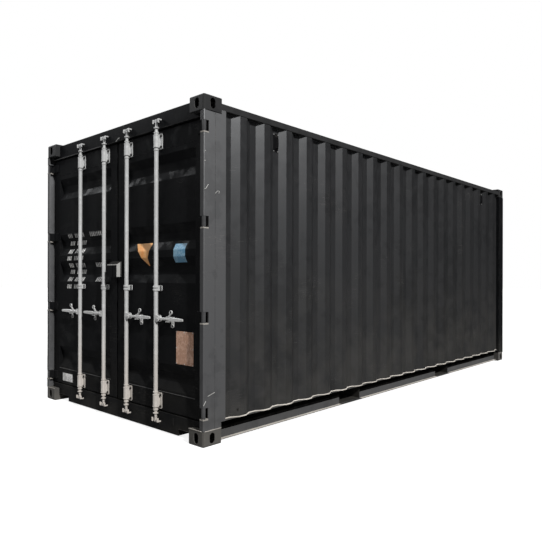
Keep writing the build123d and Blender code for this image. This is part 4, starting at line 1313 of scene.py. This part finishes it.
def data_plate():
    """A blank plate with a raised rim and three plain ribs."""
    x0, z0, x1, z1 = 0.832, 0.569, 1.040, 0.826
    rim, margin = 0.006, 0.030
    shapes = [plate(rectangle_outline(x0, z0, x1, z1), (0, LEAF_FACE, 0), ACROSS, UPRIGHT, 0.0018)]
    for edge in (
        (x0 + rim, z0 + rim, x1 - rim, z0 + 2 * rim),
        (x0 + rim, z1 - 2 * rim, x1 - rim, z1 - rim),
        (x0 + rim, z0 + 2 * rim, x0 + 1.6 * rim, z1 - 2 * rim),
        (x1 - 1.6 * rim, z0 + 2 * rim, x1 - rim, z1 - 2 * rim),
        (x0 + margin, z1 - 0.045, x1 - margin, z1 - 0.039),
        (x0 + margin, z1 - 0.075, x1 - margin, z1 - 0.069),
        (x0 + margin, z0 + 0.060, x1 - margin, z0 + 0.064),
    ):
        raised = (0, LEAF_FACE - 0.0015, 0)
        shapes.append(plate(rectangle_outline(*edge), raised, ACROSS, UPRIGHT, 0.0010, 0.0003))
    return shapes


def plate_rivets():
    """Eight rivets round the blank plate."""
    head = turned(((0.0050, 0.0), (0.0046, 0.0014), (0.0030, 0.0024)), FORWARD, 10)
    middle = (0.936, 0.6975)
    places = [
        (x, LEAF_FACE - 0.0016, z)
        for x in (0.838, 0.936, 1.034)
        for z in (0.575, 0.6975, 0.820)
        if (x, z) != middle
    ]
    return [repeated(head, places)]


# Floor inside

def floor_screws():
    """Rows of screws that hold the boards to the cross members."""
    low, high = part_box("plank_floor")
    head = turned(((0.0060, 0.0), (0.0060, 0.0004), (0.0040, 0.0008)), UPRIGHT, 8)
    places = [
        (x, y, high.z)
        for y in np.linspace(low.y + 0.05, high.y - 0.05, 19)
        for x in np.linspace(low.x + 0.06, high.x - 0.06, 14)
    ]
    return [repeated(head, places)]


def soften_edges():
    """Round the edges of the thick steel pieces: their doubles merged, then a narrow bevel."""
    widths = {
        "top_castings": 0.005, "bottom_castings": 0.005, "rear_posts": 0.002, "door_header": 0.002,
        "door_sill": 0.002, "top_side_rails": 0.003, "front_rails": 0.002,
    }
    for side in SIDES:
        widths[f"{side}_lock_box"] = 0.0012
        widths[f"{side}_handle_rests"] = 0.001
        widths[f"{side}_bar_guides"] = 0.0012
        widths[f"{side}_door_frame"] = 0.002
        for place in BAR_PLACES:
            widths[f"{side}_{place}_handle_catch"] = 0.001
    for name, width in widths.items():
        node = nodes[name]
        weld = node.modifiers.new("merge", "WELD")
        weld.merge_threshold = 0.00005
        bevel = node.modifiers.new("edges", "BEVEL")
        bevel.width = width
        bevel.segments = 2
        bevel.limit_method = "ANGLE"
        bevel.angle_limit = math.radians(40)
        bevel.use_clamp_overlap = True
        bevel.harden_normals = False
        node.modifiers.new("even_shading", "WEIGHTED_NORMAL")


# New pieces on their bodies

def dress_the_container():
    """Make the new pieces of the fixed body."""
    lip_reach, lip_change = 1.165, -0.25
    # coat is the outer face of the painted-shadow strip on the web.
    web, coat, lower_plate, lip_edge = 1.1497, 1.1508, 1.1530, 1.1804
    for name, shapes, finish in (
        ("lower_casting_beads", casting_beads(CASTING_HEIGHT), "dusty"),
        ("upper_casting_beads", casting_beads(UPPER_FRAME), "cross"),
        # Painted highlight: the wall's foot in pale paint, partly dust.
        ("wall_foot_beads", wall_beads(), "pale"),
        # Painted highlight: the header's lip in lighter paint on its left part.
        ("header_lit_lip", header_lip(-lip_reach, lip_change), "post"),
        ("header_drip_lip", header_lip(lip_change, lip_reach), "cross"),
        # Painted shadow: near-black strips on the rail's web under the flange and on the flange's edge.
        ("rail_painted_shadow", rail_strips(web, coat, 0.079, 0.1572), "tar"),
        ("flange_painted_shadow", rail_strips(1.2138, 1.2148, 0.1566, 0.1612), "tar"),
        # Painted light: the lower web in lighter paint, and the lip's top in pale paint.
        ("rail_lit_lower_strips", rail_strips(web, lower_plate, 0.0172, 0.0785), "post"),
        ("rail_lip_highlight", rail_strips(lower_plate, lip_edge, 0.0165, 0.0190), "pale"),
        ("drain_plugs", drain_plugs(), "rubber"),
        ("lug_edges", lug_edges(), "dusty"),
        ("post_scrapes", post_scrapes(), "bare"),
        ("sill_beads", sill_beads(), "cross"),
        ("post_beads", post_beads(), "frame"),
    ):
        make_piece(name, shapes, finish, "container")
    make_piece("cam_keeper_cheeks", keeper_shapes(), "zinc", "container", ("cam_keepers",))
    make_piece("vent_hoods", vent_hoods(), "plastic", "container", ("ventilators",))
    make_piece("vent_screws", vent_screws(), "zinc", "container")
    make_piece("floor_screws", floor_screws(), "zinc", "container")


def dress_a_door(side):
    """Make the new pieces of one door leaf."""
    rest_eyes = [eye_middle(side, place, -0.054, GUIDE_FACE) for place in BAR_PLACES]
    for name, shapes, finish, slot in (
        ("guide_bolts", guide_bolts(side), "under", "galvanised_steel"),
        ("guide_ribs", guide_ribs(side), "zinc", "galvanised_steel"),
        ("guide_joints", guide_joints(side), "rubber", "gasket_rubber"),
        ("knuckle_sleeves", on_side(side, knuckle_sleeves()), "post", "door_steel"),
        ("rest_eye_rims", [eye_rim(eye) for eye in rest_eyes], "zinc", "galvanised_steel"),
        # Painted shade: dark discs in the rests' eyes.
        ("rest_eye_shades", [repeated(EYE_SHADE_DISC, rest_eyes)], "rubber", "gasket_rubber"),
        # The panel's lower seam in lighter paint: painted highlight.
        ("lower_seam", panel_seam(side, False), "post", "door_steel"),
        ("upper_seam", panel_seam(side, True), "door", "door_steel"),
        ("lock_box_edges", lock_box_edges(side), "bare", "door_steel"),
    ):
        make_piece(f"{side}_{name}", shapes, finish, f"{side}_door")
    seal = seal_lip(side)
    make_piece(
        f"{side}_seal_lip", seal, "rubber", f"{side}_door", (f"{side}_door_gasket",)
    )


def dress_a_bar(side, place):
    """Make the new pieces of one locking bar, its handle and its catch."""
    stem, steel = f"{side}_{place}", "galvanised_steel"
    bar = on_side(side, bar_shapes(side, place))
    make_piece(f"{stem}_turned_bar", bar, "zinc", f"{stem}_bar", (f"{stem}_locking_bar",))
    handle = on_side(side, handle_shapes(place))
    make_piece(f"{stem}_waisted_handle", handle, "zinc", f"{stem}_handle", (f"{stem}_lock_handle",))
    eye = eye_middle(side, place, 0.054, CATCH_FACE)
    make_piece(f"{stem}_catch_rim", [eye_rim(eye)], "zinc", f"{stem}_catch")
    # Painted shade: a dark disc in the catch's eye.
    make_piece(f"{stem}_catch_eye_shade", [repeated(EYE_SHADE_DISC, [eye])], "rubber", f"{stem}_catch")


def mark_the_doors():
    """Make the marks, labels and plates of the two leaves."""
    make_piece("left_plain_marks", plain_marks(), "mark", "left_door")
    make_piece("left_white_label", white_label(), "label", "left_door")
    make_piece("right_orange_patch", orange_patch(), "orange", "right_door")
    make_piece("right_blue_patch", blue_patch(), "blue", "right_door")
    make_piece("right_data_plate", data_plate(), "copper", "right_door")
    make_piece("right_plate_rivets", plate_rivets(), "zinc", "right_door")


place_camera()
light_the_stage()
finish_nodes()
soften_edges()
dress_the_container()
for door_side in SIDES:
    dress_a_door(door_side)
    for bar_place in BAR_PLACES:
        dress_a_bar(door_side, bar_place)
mark_the_doors()
